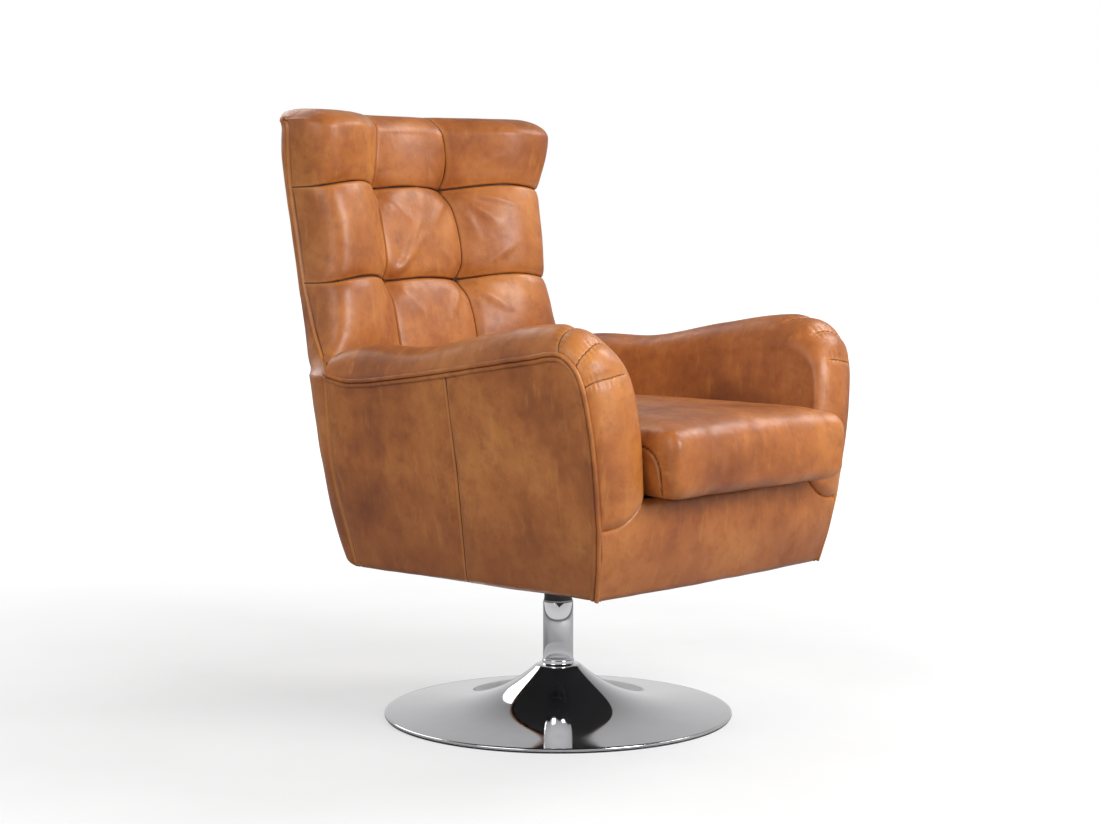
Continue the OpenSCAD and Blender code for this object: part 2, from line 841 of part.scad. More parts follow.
// How far the rear seam and the outer back stand behind the tufts, by height above the sides
seam_set = [
    [side_top_z + 12, -61], [side_top_z + 34, -34], [arm_top_z - 5, -7], [waist_z, 4], [shoulder_z, -11],
    [roll_z, -43], [brow_z, -41], [back_top_z, -34]
];
rear_set = [
    [low_back_z - 6, 63], [side_top_z - 11, 62], [above_arms(0.06), 57], [waist_z, 51], [shoulder_z, 40],
    [roll_z, 37], [brow_z, 33], [back_top_z, 18]
];
back_seam_y = [
    [underside_z, rear_reach], [low_back_z, rear_reach + 28], [side_top_z, rear_reach + 17],
    for (key = seam_set) [key[0], tuft_y(key[0]) + key[1]]
];
back_rear_y = [
    [underside_z, rear_reach + 50],
    for (key = rear_set) [key[0], tuft_y(key[0]) + key[1]]
];

// Squareness of the back's plan, 2 for an ellipse
foot_corner = 4;
low_corner = 2.3;
back_corner = 3;
function corner_power_at(z) = lookup(z, [
    [underside_z, foot_corner], [low_back_z, low_corner], [side_top_z, low_corner],
    [side_top_z + 34, back_corner], [shoulder_z, back_corner], [roll_z, low_corner]
]);
back_z = [
    underside_z, underside_z + 80, low_back_z, (low_back_z + side_top_z) / 2, side_top_z, side_top_z + 12,
    side_top_z + 34, arm_top_z - 5, above_arms(0.15), waist_z, above_arms(0.47), shoulder_z,
    back_top_z - 70, roll_z, brow_z, back_top_z
];
back_arc = 18;

// Section of the outer back at a height: a flat curve with large round corners
function back_section(z, depth) =
    let (
        seam_x = lookup(z, back_seam_x) - depth,
        seam_y = lookup(z, back_seam_y) + seam_gap,
        rear_y = lookup(z, back_rear_y) - depth,
        e = 2 / corner_power_at(z)
    )
    [for (i = [0 : back_arc]) let (t = 180 * i / back_arc)
        [seam_x * power(cos(t), e), seam_y + (rear_y - seam_y) * power(sin(t), e), z]];

// Inner face of the outer back at a place
function shell_y(x, z) =
    let (
        seam_x = lookup(z, back_seam_x) - skin_t,
        seam_y = lookup(z, back_seam_y),
        rear_y = lookup(z, back_rear_y) - skin_t,
        share = min(1, abs(x) / seam_x)
    )
    seam_y + (rear_y - seam_y) * pow(1 - pow(share, corner_power_at(z)), 1 / corner_power_at(z));

module outer_back() {
    color(leather) sheet(
        [for (z = back_z) back_section(z, 0)],
        [for (z = back_z) back_section(z, skin_t)]
    );
}

// BACK PAD

// Rows of tufts, at shares of the back's height above the deck
row_shares = [0.042, 0.2542, 0.5185, 0.7828, 1];
row_z = [for (share = row_shares) deck_z + share * (back_top_z - deck_z)];
function cell_z(row, share) = row_z[row] + share * (row_z[row + 1] - row_z[row]);
row_steps = [4, 5, 6, 7];
side_steps = 4;
centre_steps = 6;
crest_share = 0.68;
roll_square = 0.6;
flank = 1.1;
row_puff = 9;
seam_puff = 13;
pad_edge_gap = 1.8;
pad_side_clear = 2.2;
cover_skin = 3.5;
valley_share = 0.6;
foam_gap = 0.6;

// How far a cell between two seams is puffed, 0 at the seams and 1 in the middle
function puff(f) = pow(max(0, 4 * f * (1 - f)), 0.6);

// How far the pad stands in front of the tufts' plane, by height: its middle column, its side
// columns and the sewn valleys between them
centre_loft = [
    [row_z[0], 14], [cell_z(0, 0.55), 24], [cell_z(1, 0.33), 29], [row_z[3], 29], [roll_z, 30],
    [back_top_z - 14, 23], [back_top_z - 4, 13], [back_top_z, 2]
];
side_loft = [
    [row_z[0], 14], [cell_z(0, 0.55), 32], [row_z[1], 50], [cell_z(1, 0.33), 64], [row_z[2], 79],
    [cell_z(2, 0.5), 89], [row_z[3], 97], [roll_z, 128], [back_top_z - 14, 120], [back_top_z - 4, 99],
    [back_top_z, 70]
];
valley_loft = [
    [row_z[0], 3], [row_z[1], 0], [row_z[3], 0], [roll_z, 6], [brow_z, -1], [back_top_z, -8]
];
function loft_y(z, loft) = tuft_y(z) - lookup(z, loft);
valley_x = [
    [row_z[0], tuft_half_pitch + 6], [row_z[2], tuft_half_pitch + 3], [row_z[3], tuft_half_pitch - 2],
    [back_top_z, tuft_half_pitch - 13]
];
pad_free_z = arm_top_z - 92;
pad_wide_z = arm_top_z - 64;
pad_tuck_y = board_y(row_z[0]) - 4;
shell_clear = 4;

// Rear edge of the pad: between the arms below pad_free_z, along the outer back's seam above
function pad_spread(z) = min(1, max(0, (z - pad_free_z) / (pad_wide_z - pad_free_z)));
function edge_x(z) =
    (1 - pad_spread(z)) * inner_x(min(z, pad_free_z)) + pad_spread(z) * lookup(z, back_seam_x)
    - pad_edge_gap;
function edge_y(z) =
    (1 - pad_spread(z)) * pad_tuck_y + pad_spread(z) * lookup(z, back_seam_y) - pad_side_clear;

// Rows of the pad as [height, share of the cell], with rows closer to the seams
pad_rows = [
    for (r = [0 : 3], s = [0 : row_steps[r] - 1]) let (f = (1 - cos(180 * s / row_steps[r])) / 2)
        [row_z[r] + (row_z[r + 1] - row_z[r]) * f, f],
    [back_top_z, 1]
];

// Plan of a side column: a flank that rises from the sewn valley, then a roll back to the rear edge
function side_column(valley, edge, crest) =
    let (crest_x = valley[0] + crest_share * (edge[0] - valley[0]))
    [
        for (i = [0 : side_steps - 1]) let (t = 90 * i / side_steps)
            [valley[0] + (crest_x - valley[0]) * i / side_steps,
                valley[1] + (crest - valley[1]) * pow(sin(t), flank)],
        for (i = [0 : side_steps]) let (t = 90 * i / side_steps)
            [crest_x + (edge[0] - crest_x) * pow(sin(t), roll_square),
                crest + (edge[1] - crest) * (1 - pow(cos(t), roll_square))]
    ];

// Plan of the middle column, between the two valleys and without them
function centre_column(valley, crest) =
    [for (i = [1 : centre_steps - 1])
        [valley[0] * (2 * i / centre_steps - 1),
            valley[1] + (crest - valley[1]) * pow(sin(180 * i / centre_steps), flank)]];

function mirrored(points) = [for (i = [len(points) - 1 : -1 : 0]) [-points[i][0], points[i][1]]];

// One row of the pad's face, drawn in by depth: 0 is the leather's face
function pad_front_row(row, depth) =
    let (
        z = row[0],
        q = puff(row[1]),
        valley = [lookup(z, valley_x), loft_y(z, valley_loft) - seam_puff * q + depth * valley_share],
        edge = [edge_x(z) - depth, edge_y(z)],
        centre = loft_y(z, centre_loft) + row_puff * (1 - q) + depth,
        side = loft_y(z, side_loft) + row_puff * (1 - q) + depth
    )
    [for (p = concat(
        mirrored(side_column(valley, edge, side)),
        centre_column(valley, centre),
        side_column(valley, edge, side)))
        [p[0], p[1], min(z, back_top_z - depth)]];

// Plane of the pad's back, on the webbing in front of the back frame
function pad_plane_y(z) = board_y(z) - (web_t + seat_gap) / cos(back_angle);

function pad_back_row(row) =
    let (z = row[0], n = 4 * side_steps + centre_steps, half = edge_x(z) - cover_skin - 3 * foam_gap)
    [for (j = [0 : n]) let (x = half * (2 * j / n - 1))
        [x, max(edge_y(z) + foam_gap, min(pad_plane_y(z), shell_y(x * 1.03, z) - shell_clear)),
            min(z, back_top_z - cover_skin - foam_gap)]];

module back_cover() {
    color(leather) sheet(
        [for (row = pad_rows) pad_front_row(row, 0)],
        [for (row = pad_rows) pad_front_row(row, cover_skin)]
    );
}

module back_foam() {
    color(foam) sheet(
        [for (row = pad_rows) pad_front_row(row, cover_skin + foam_gap)],
        [for (row = pad_rows) pad_back_row(row)]
    );
}

tie_washer_d = 22;
tie_washer_t = 2;

module tuft_ties() {
    color(black_steel) for (z = [row_z[1], row_z[2], row_z[3]], side = [-1, 1])
        translate([side * lookup(z, valley_x), board_y(z) + seat_gap, z]) rotate([-90 - back_angle, 0, 0])
            translate([0, 0, ply_t]) cylinder(d = tie_washer_d, h = tie_washer_t, $fn = 32);
}

// CUSHION

cushion_rear_y = rear_reach + 40;
cushion_half_w = inner_x(deck_z) - cushion_gap;
function cushion_side(z) = cushion_half_w + inner_lean * (z - deck_z);
cushion_foot_z = deck_z + seat_gap;
cushion_mid_y = (cushion_rear_y - cushion_front) / 2;
cushion_half_d = (cushion_rear_y + cushion_front) / 2;
cushion_points = 48;
cushion_corner = 14;

// One level of the cushion: an outline with round corners, drawn in by inset, at a height
function cushion_ring(inset, bulge, z, crown) =
    [for (i = [0 : cushion_points - 1]) let (
        t = 360 * i / cushion_points,
        fx = power(cos(t), 2 / cushion_corner),
        fy = power(sin(t), 2 / cushion_corner),
        draw = 1 - 0.008 * pow(sin(2 * t), 2),
        front = fy < 0 ? bulge * (1 - 0.25 * pow(abs(fx), 6)) * pow(-fy, 2) : 0,
        x = fx * (cushion_side(z) - inset) * draw,
        y = cushion_mid_y + fy * (cushion_half_d - inset) * draw - front,
        across = 1 - pow(x / cushion_half_w, 2),
        along = 1 - pow((y - cushion_mid_y) / (cushion_half_d + bulge), 2))
        [x, y, z + crown * across * along]];

border_r = 3;
top_seam_z = cushion_foot_z + cushion_t;

function cushion_rings(skin) = [
    cushion_ring(cushion_half_w * 0.5 + skin, 0, cushion_foot_z + skin, 0),
    cushion_ring(16 + skin, 0, cushion_foot_z + skin, 0),
    cushion_ring(4 + skin, border_bulge * 0.15, cushion_foot_z + 6 + skin * 0.6, 0),
    cushion_ring(border_r + skin, border_bulge * 0.5, cushion_foot_z + 18, 0),
    cushion_ring(skin, border_bulge, cushion_foot_z + cushion_t * 0.45, 0),
    cushion_ring(skin, border_bulge * 0.85, cushion_foot_z + cushion_t * 0.7, 0),
    cushion_ring(border_r + skin, border_bulge * 0.3, top_seam_z - 6 - skin * 0.6, 0),
    cushion_ring(border_r * 2 + skin, border_bulge * 0.1, top_seam_z - skin, crown_h * 0.2),
    cushion_ring(24 + skin, 0, top_seam_z + 5 - skin, crown_h * 0.75),
    cushion_ring(cushion_half_w * 0.4 + skin, 0, top_seam_z + 5 - skin, crown_h),
    cushion_ring(cushion_half_w * 0.8, 0, top_seam_z + 5 - skin, crown_h)
];

cover_t = 2.4;

module seat_cushion() {
    color(leather) difference() {
        lofted(cushion_rings(0));
        translate([0, 0, -0.001]) lofted(cushion_rings(cover_t));
        translate([0, 0, cushion_foot_z - 1]) linear_extrude(cover_t + 2)
            polygon([for (p = cushion_ring(30, 0, 0, 0)) [p[0], p[1]]]);
    }
}

module cushion_underside() {
    color(leather) translate([0, 0, cushion_foot_z]) linear_extrude(cover_t)
        polygon([for (p = cushion_ring(30 + seam_gap, 0, 0, 0)) [p[0], p[1]]]);
}

module cushion_core() {
    color(foam) lofted(cushion_rings(cover_t + seat_gap * 2));
}

foot_skirt();
foot_glide_ring();
foot_pan();
foot_weight();
column_tube();
column_collar();
upper_bush();
lower_bush();
thrust_washer();
spindle();
retaining_bolt();
retaining_washer();
swivel_boss();
swivel_plate();
plate_bolts();
left_bearer();
right_bearer();
side_rail_left();
side_rail_right();
front_rail();
rear_rail();
corner_blocks();
back_blocks();
arm_frame_left();
arm_frame_right();
back_frame();
back_webbing();
seat_springs();
spring_clips();
seat_deck();
dust_cover();
arm_foam_left();
arm_foam_right();
side_front_left();
side_front_right();
side_rear_left();
side_rear_right();
arm_cover_left();
arm_cover_right();
arm_inside_left();
arm_inside_right();
arm_welt_left();
arm_welt_right();
front_panel();
outer_back();
back_cover();
back_foam();
tuft_ties();
seat_cushion();
cushion_core();
cushion_underside();
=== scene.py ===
"""Leather armchair on a swivel foot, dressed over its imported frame.

The chair's classes hold their sizes in millimetres. The studio's places are in metres.
"""

import json
import logging
import math
from collections.abc import Callable, Iterable, Sequence
from dataclasses import dataclass, field
from enum import Enum

import bmesh
import bpy
from mathutils import Matrix, Vector, noise
from mathutils.bvhtree import BVHTree


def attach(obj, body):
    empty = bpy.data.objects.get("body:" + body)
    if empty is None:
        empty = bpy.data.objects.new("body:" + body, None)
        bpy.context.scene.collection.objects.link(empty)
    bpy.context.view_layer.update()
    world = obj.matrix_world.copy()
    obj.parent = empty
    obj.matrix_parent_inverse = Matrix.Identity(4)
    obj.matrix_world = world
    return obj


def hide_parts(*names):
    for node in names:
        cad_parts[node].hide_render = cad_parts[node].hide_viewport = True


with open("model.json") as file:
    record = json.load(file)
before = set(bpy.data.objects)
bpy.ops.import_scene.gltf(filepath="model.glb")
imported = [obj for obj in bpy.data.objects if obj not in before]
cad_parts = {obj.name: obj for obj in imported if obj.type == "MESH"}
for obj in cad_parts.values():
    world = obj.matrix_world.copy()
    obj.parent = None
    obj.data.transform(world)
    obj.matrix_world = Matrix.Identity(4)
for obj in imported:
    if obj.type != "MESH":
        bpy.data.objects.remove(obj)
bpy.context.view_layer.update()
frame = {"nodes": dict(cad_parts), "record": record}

log = logging.getLogger("armchair")

MM = 0.001
EDGE_TONE = 0.11
EDGE_WIDE = 6.0
Colour = tuple[float, float, float]
Axes = tuple[float, float, float]
Spot = tuple[Vector, float]
Place = Callable[[float, float], Spot]


class Hand(Enum):
    """Side of the chair, as the sign of its X."""

    LEFT = 1
    RIGHT = -1

    @property
    def word(self) -> str:
        """Name of the side, as the CAD nodes spell it."""
        return self.name.lower()


class Body(Enum):
    """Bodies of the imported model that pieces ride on."""

    BASE = "base"
    SEAT = "seat"
    CUSHION = "cushion"


class Table:
    """Values at rising places, joined by a smooth line that doesn't overshoot its keys."""

    def __init__(self, pairs: Sequence[tuple[float, float]]) -> None:
        """Keeps the keys and works out the slope at each.

        Args:
            pairs: Places and their values, with rising places.
        """
        self.x = [p[0] for p in pairs]
        self.y = [p[1] for p in pairs]
        steps = [
            (self.y[i + 1] - self.y[i]) / (self.x[i + 1] - self.x[i])
            for i in range(len(pairs) - 1)
        ]
        self.slope = [steps[0]]
        for a, b in zip(steps, steps[1:]):
            self.slope.append(0.0 if a * b <= 0 else 2 * a * b / (a + b))
        self.slope.append(steps[-1])

    def at(self, place: float) -> float:
        """Value at a place.

        Args:
            place: Where to read the line. Past its ends, the end values hold.

        Returns:
            The value.
        """
        if place <= self.x[0]:
            return self.y[0]
        if place >= self.x[-1]:
            return self.y[-1]
        i = next(k for k in range(len(self.x) - 1) if place <= self.x[k + 1])
        run = self.x[i + 1] - self.x[i]
        f = (place - self.x[i]) / run
        return (
            (2 * f**3 - 3 * f * f + 1) * self.y[i]
            + (f**3 - 2 * f * f + f) * run * self.slope[i]
            + (3 * f * f - 2 * f**3) * self.y[i + 1]
            + (f**3 - f * f) * run * self.slope[i + 1]
        )


class SmoothLine:
    """A smooth line through keys in the Y-Z plane, read by key number."""

    def __init__(self, keys: Sequence[tuple[float, float]]) -> None:
        """Keeps the keys, in millimetres.

        Args:
            keys: The points that the line runs through.
        """
        self.keys = [Vector(k) for k in keys]
        self.spans = [max(0.001, (b - a).length) for a, b in zip(self.keys, self.keys[1:])]
        self.last = len(self.keys) - 1

    def _slope(self, i: int) -> Vector:
        """Direction of the line at a key.

        Args:
            i: The key's number.

        Returns:
            The change of the point for each unit of chord.
        """
        if i == 0:
            return (self.keys[1] - self.keys[0]) / self.spans[0]
        if i == self.last:
            return (self.keys[i] - self.keys[i - 1]) / self.spans[i - 1]
        return (self.keys[i + 1] - self.keys[i - 1]) / (self.spans[i] + self.spans[i - 1])

    def at(self, place: float) -> Vector:
        """Point on the line.

        Args:
            place: Key number, with its fraction.

        Returns:
            The point as Y and Z.
        """
        i = min(int(max(0.0, place)), self.last - 1)
        f = place - i
        run = self.spans[i]
        return (
            (2 * f**3 - 3 * f * f + 1) * self.keys[i]
            + (f**3 - 2 * f * f + f) * run * self._slope(i)
            + (3 * f * f - 2 * f**3) * self.keys[i + 1]
            + (f**3 - f * f) * run * self._slope(i + 1)
        )

    def points(self, first: float, last: float, count: int) -> list[Vector]:
        """Points along a stretch of the line.

        Args:
            first: Key number where the stretch starts.
            last: Key number where it ends.
            count: How many points to give.

        Returns:
            The points in order.
        """
        return [self.at(first + (last - first) * i / (count - 1)) for i in range(count)]


class Edge:
    """A run of points that is read by its share of the length."""

    def __init__(self, points: Sequence[Vector]) -> None:
        """Keeps the points and their distances.

        Args:
            points: The run, in order.
        """
        self.points = list(points)
        self.far = [0.0]
        for a, b in zip(self.points, self.points[1:]):
            self.far.append(self.far[-1] + (b - a).length)

    def at(self, share: float) -> Vector:
        """Point at a share of the length.

        Args:
            share: From 0 at the start to 1 at the end.

        Returns:
            The point.
        """
        want = max(0.0, min(1.0, share)) * self.far[-1]
        low, high = 0, len(self.far) - 1
        while high - low > 1:
            middle = (low + high) // 2
            if self.far[middle] <= want:
                low = middle
            else:
                high = middle
        run = self.far[high] - self.far[low]
        return self.points[low].lerp(self.points[high], (want - self.far[low]) / run if run else 0.0)


class Patch:
    """A flat patch stretched between four edges."""

    def __init__(self, low: Edge, high: Edge, start: Edge, end: Edge) -> None:
        """Keeps the edges.

        Args:
            low: Edge at the bottom, from start to end.
            high: Edge at the top, from start to end.
            start: Edge from the bottom to the top where low begins.
            end: Edge from the bottom to the top where low ends.
        """
        self.low, self.high, self.start, self.end = low, high, start, end

    def at(self, u: float, v: float) -> Vector:
        """Point of the patch.

        Args:
            u: Share from the start edge to the end edge.
            v: Share from the bottom to the top.

        Returns:
            The point as Y and Z.
        """
        corners = (
            (1 - u) * (1 - v) * self.low.at(0)
            + u * (1 - v) * self.low.at(1)
            + (1 - u) * v * self.high.at(0)
            + u * v * self.high.at(1)
        )
        sides = (1 - v) * self.low.at(u) + v * self.high.at(u)
        ends = (1 - u) * self.start.at(v) + u * self.end.at(v)
        return sides + ends - corners


def near(distance: float, width: float) -> float:
    """How close a place is to a line, from 0 far off to 1 on it.

    Args:
        distance: Distance from the line.
        width: Distance over which it falls off.

    Returns:
        The closeness.
    """
    return math.exp(-((distance / width) ** 2))


def seam_tone(distance: float, width: float = 1.2) -> float:
    """Value of the seam layer beside a seam: dark on it, and a paler band next to it.

    Args:
        distance: Distance from the seam in millimetres.
        width: Half width of the dark line.

    Returns:
        The value, where EDGE_TONE and less stand for the paler band.
    """
    return max(near(distance, width), EDGE_TONE * near(distance, EDGE_WIDE))


def power(value: float, exponent: float) -> float:
    """A power that keeps its value's sign."""
    return math.copysign(abs(value) ** exponent, value)


def ends_dense(share: float) -> float:
    """Spreads shares from 0 to 1 so that they lie closer together at both ends."""
    return share - 0.14 * math.sin(2 * math.pi * share)


# Materials


class NodeBench:
    """Builds the nodes of one material."""

    def __init__(self, name: str) -> None:
        """Starts a material with its shader and output.

        Args:
            name: The material's name.
        """
        self.material = bpy.data.materials.new(name)
        self.material.use_nodes = True
        self.tree = self.material.node_tree
        self.shader = self.tree.nodes["Principled BSDF"]
        self.place = self.add("ShaderNodeTexCoord").outputs["Object"]

    def add(self, kind: str, **values: object) -> bpy.types.Node:
        """Adds a node and sets its properties.

        Args:
            kind: The node's type.
            values: Properties of the node by name.

        Returns:
            The node.
        """
        node = self.tree.nodes.new(kind)
        for name, value in values.items():
            setattr(node, name, value)
        return node

    def link(self, source: bpy.types.NodeSocket, target: bpy.types.NodeSocket) -> None:
        """Joins two sockets."""
        self.tree.links.new(source, target)

    def noise(
        self, scale: float, detail: float = 4.0, rough: float = 0.55, stretch: Axes = (1, 1, 1)
    ) -> bpy.types.NodeSocket:
        """Adds a noise on the object's own coordinates.

        Args:
            scale: Cells to the metre.
            detail: Levels of finer noise.
            rough: Share of the finer levels.
            stretch: Scale along each axis.

        Returns:
            The noise's value.
        """
        mapping = self.add("ShaderNodeMapping")
        mapping.inputs["Scale"].default_value = stretch
        self.link(self.place, mapping.inputs["Vector"])
        texture = self.add("ShaderNodeTexNoise")
        texture.inputs["Scale"].default_value = scale
        texture.inputs["Detail"].default_value = detail
        texture.inputs["Roughness"].default_value = rough
        self.link(mapping.outputs["Vector"], texture.inputs["Vector"])
        return texture.outputs["Fac"]

    def cells(self, scale: float) -> bpy.types.NodeSocket:
        """Adds a pattern of cells, for grain and pores.

        Args:
            scale: Cells to the metre.

        Returns:
            The distance from each cell's middle.
        """
        texture = self.add("ShaderNodeTexVoronoi")
        texture.inputs["Scale"].default_value = scale
        self.link(self.place, texture.inputs["Vector"])
        return texture.outputs["Distance"]

    def ramp(
        self, source: bpy.types.NodeSocket, stops: Iterable[tuple[float, Colour]]
    ) -> bpy.types.NodeSocket:
        """Turns a value into a colour.

        Args:
            source: The value.
            stops: Places from 0 to 1 and their colours.

        Returns:
            The colour.
        """
        node = self.add("ShaderNodeValToRGB")
        elements = node.color_ramp.elements
        for number, (place, colour) in enumerate(stops):
            element = elements[number] if number < 2 else elements.new(place)
            element.position = place
            element.color = (*colour, 1)
        self.link(source, node.inputs["Fac"])
        return node.outputs["Color"]

    def span(
        self, source: bpy.types.NodeSocket, low: float, high: float, start: float = 0.3, end: float = 0.7
    ) -> bpy.types.NodeSocket:
        """Spreads a value over a range.

        Args:
            source: The value.
            low: Result at start.
            high: Result at end.
            start: Value that gives low.
            end: Value that gives high.

        Returns:
            The spread value.
        """
        node = self.add("ShaderNodeMapRange")
        for name, value in (("From Min", start), ("From Max", end), ("To Min", low), ("To Max", high)):
            node.inputs[name].default_value = value
        self.link(source, node.inputs["Value"])
        return node.outputs["Result"]

    def blend(
        self,
        factor: bpy.types.NodeSocket,
        first: bpy.types.NodeSocket,
        second: bpy.types.NodeSocket | Colour,
    ) -> bpy.types.NodeSocket:
        """Mixes two colours.

        Args:
            factor: Share of the second.
            first: The first colour.
            second: The second colour, linked or plain.

        Returns:
            The mixed colour.
        """
        node = self.add("ShaderNodeMix", data_type="RGBA", blend_type="MIX")
        self.link(factor, node.inputs[0])
        self.link(first, node.inputs[6])
        if isinstance(second, tuple):
            node.inputs[7].default_value = (*second, 1)
        else:
            self.link(second, node.inputs[7])
        return node.outputs[2]

    def bump(
        self,
        height: bpy.types.NodeSocket,
        distance: float,
        strength: float = 1.0,
        after: bpy.types.NodeSocket | None = None,
    ) -> bpy.types.NodeSocket:
        """Adds relief.

        Args:
            height: The relief's height from 0 to 1.
            distance: Height of 1 in metres.
            strength: Share of the relief that shows.
            after: Normal that the relief lies on.

        Returns:
            The normal.
        """
        node = self.add("ShaderNodeBump")
        node.inputs["Distance"].default_value = distance
        node.inputs["Strength"].default_value = strength
        self.link(height, node.inputs["Height"])
        if after is not None:
            self.link(after, node.inputs["Normal"])
        return node.outputs["Normal"]

    def set(self, **values: float) -> None:
        """Sets plain sockets of the shader, spelled with low lines for spaces."""
        for name, value in values.items():
            self.shader.inputs[name.replace("_", " ")].default_value = value


@dataclass(frozen=True)
class WaxedLeather:
    """Tan leather with a waxed top coat, cloudy patches and darker seams."""

    name: str = "tan_waxed_leather"
    pale: Colour = (0.57, 0.217, 0.050)
    body: Colour = (0.38, 0.116, 0.023)
    dark: Colour = (0.185, 0.045, 0.009)
    # Colour of the seam lines, also used for the painted shade at the back's tufts.
    seam: Colour = (0.060, 0.016, 0.004)
    patches: float = 5.5
    mottle: float = 34.0
    pull: float = 60.0
    pull_stretch: Axes = (1, 1, 0.22)
    scuff: float = 120.0
    scuff_stretch: Axes = (0.3, 1, 1)
    crease: float = 95.0
    crease_depth: float = 0.0011
    grain: float = 620.0
    grain_depth: float = 0.00022
    # Heights in metres of the painted shade towards the bottom: strongest at the first, gone at the second.
    painted_shade_full_z: float = 0.25
    painted_shade_end_z: float = 0.40

    def make(self) -> bpy.types.Material:
        """Builds the material.

        Returns:
            The leather.
        """
        bench = NodeBench(self.name)
        cloud = bench.noise(self.patches, 7, 0.62)
        colour = bench.ramp(cloud, [(0.30, self.dark), (0.72, self.pale), (0.50, self.body)])
        mottle = bench.noise(self.mottle, 9, 0.7)
        colour = bench.blend(bench.span(mottle, 0.0, 0.55, 0.48, 0.72), colour, self.dark)
        pull = bench.noise(self.pull, 5, 0.6, self.pull_stretch)
        colour = bench.blend(bench.span(pull, 0.0, 0.42, 0.56, 0.72), colour, self.pale)
        scuff = bench.noise(self.scuff, 8, 0.75, self.scuff_stretch)
        colour = bench.blend(bench.span(scuff, 0.0, 0.5, 0.66, 0.74), colour, self.pale)
        height = bench.add("ShaderNodeSeparateXYZ")
        bench.link(bench.place, height.inputs[0])
        # Painted shade: darker towards the bottom, standing in for the weaker light that reaches the lower
        # parts.
        low = bench.span(height.outputs["Z"], 0.55, 0.0, self.painted_shade_full_z, self.painted_shade_end_z)
        colour = bench.blend(low, colour, self.dark)
        seam = bench.add("ShaderNodeAttribute", attribute_name="seam").outputs["Fac"]
        # A paler band beside the seams.
        colour = bench.blend(bench.span(seam, 0.0, 0.5, 0.015, EDGE_TONE), colour, self.pale)
        # Darkens the seam lines, and paints shade into the back's tuft pinches, which the seam layer also
        # carries.
        colour = bench.blend(bench.span(seam, 0.0, 1.0, 0.16, 0.85), colour, self.seam)
        bench.link(colour, bench.shader.inputs["Base Color"])
        bench.link(bench.span(mottle, 0.36, 0.52, 0.35, 0.65), bench.shader.inputs["Roughness"])
        creases = bench.bump(bench.noise(self.crease, 6, 0.62), self.crease_depth, 0.32)
        grain = bench.bump(bench.cells(self.grain), self.grain_depth, 0.38, creases)
        bench.link(grain, bench.shader.inputs["Normal"])
        bench.set(Specular_IOR_Level=0.45, Coat_Weight=0.14, Coat_Roughness=0.32)
        return bench.material


@dataclass(frozen=True)
class Thread:
    """Waxed sewing thread."""

    name: str = "brown_thread"
    colour: Colour = (0.12, 0.040, 0.012)

    def make(self) -> bpy.types.Material:
        """Builds the material.

        Returns:
            The thread.
        """
        bench = NodeBench(self.name)
        shade = bench.noise(900, 3)
        bench.link(
            bench.ramp(shade, [(0.3, tuple(c * 0.7 for c in self.colour)), (0.7, self.colour)]),
            bench.shader.inputs["Base Color"],
        )
        bench.link(bench.bump(bench.noise(2600, 2), 0.0002, 0.6), bench.shader.inputs["Normal"])
        bench.set(Roughness=0.6)
        return bench.material


@dataclass(frozen=True)
class MirrorChrome:
    """Polished chrome with the faint haze of handling."""

    name: str = "mirror_chrome"
    colour: Colour = (0.78, 0.78, 0.80)
    haze: float = 0.09

    def make(self) -> bpy.types.Material:
        """Builds the material.

        Returns:
            The chrome.
        """
        bench = NodeBench(self.name)
        smear = bench.noise(16, 6, 0.6)
        bench.link(bench.span(smear, 0.03, self.haze, 0.4, 0.75), bench.shader.inputs["Roughness"])
        tint = tuple(c * 0.94 for c in self.colour)
        bench.link(bench.ramp(smear, [(0.35, self.colour), (0.8, tint)]), bench.shader.inputs["Base Color"])
        bench.set(Metallic=1.0)
        return bench.material


@dataclass(frozen=True)
class PlainFinish:
    """A finish of the parts behind and under the leather."""

    name: str
    colour: Colour
    rough: float
    metal: float = 0.0
    grain: float = 300.0
    relief: float = 0.0002
    stretch: Axes = (1.0, 1.0, 1.0)
    contrast: float = 0.25

    def make(self) -> bpy.types.Material:
        """Builds the material.

        Returns:
            The finish.
        """
        bench = NodeBench(self.name)
        grain = bench.noise(self.grain, 6, 0.62, self.stretch)
        deep = tuple(c * (1 - self.contrast) for c in self.colour)
        bench.link(bench.ramp(grain, [(0.32, deep), (0.7, self.colour)]), bench.shader.inputs["Base Color"])
        bench.link(
            bench.span(grain, self.rough * 0.88, min(1.0, self.rough * 1.12)),
            bench.shader.inputs["Roughness"],
        )
        bench.link(bench.bump(grain, self.relief, 0.5), bench.shader.inputs["Normal"])
        bench.set(Metallic=self.metal)
        return bench.material


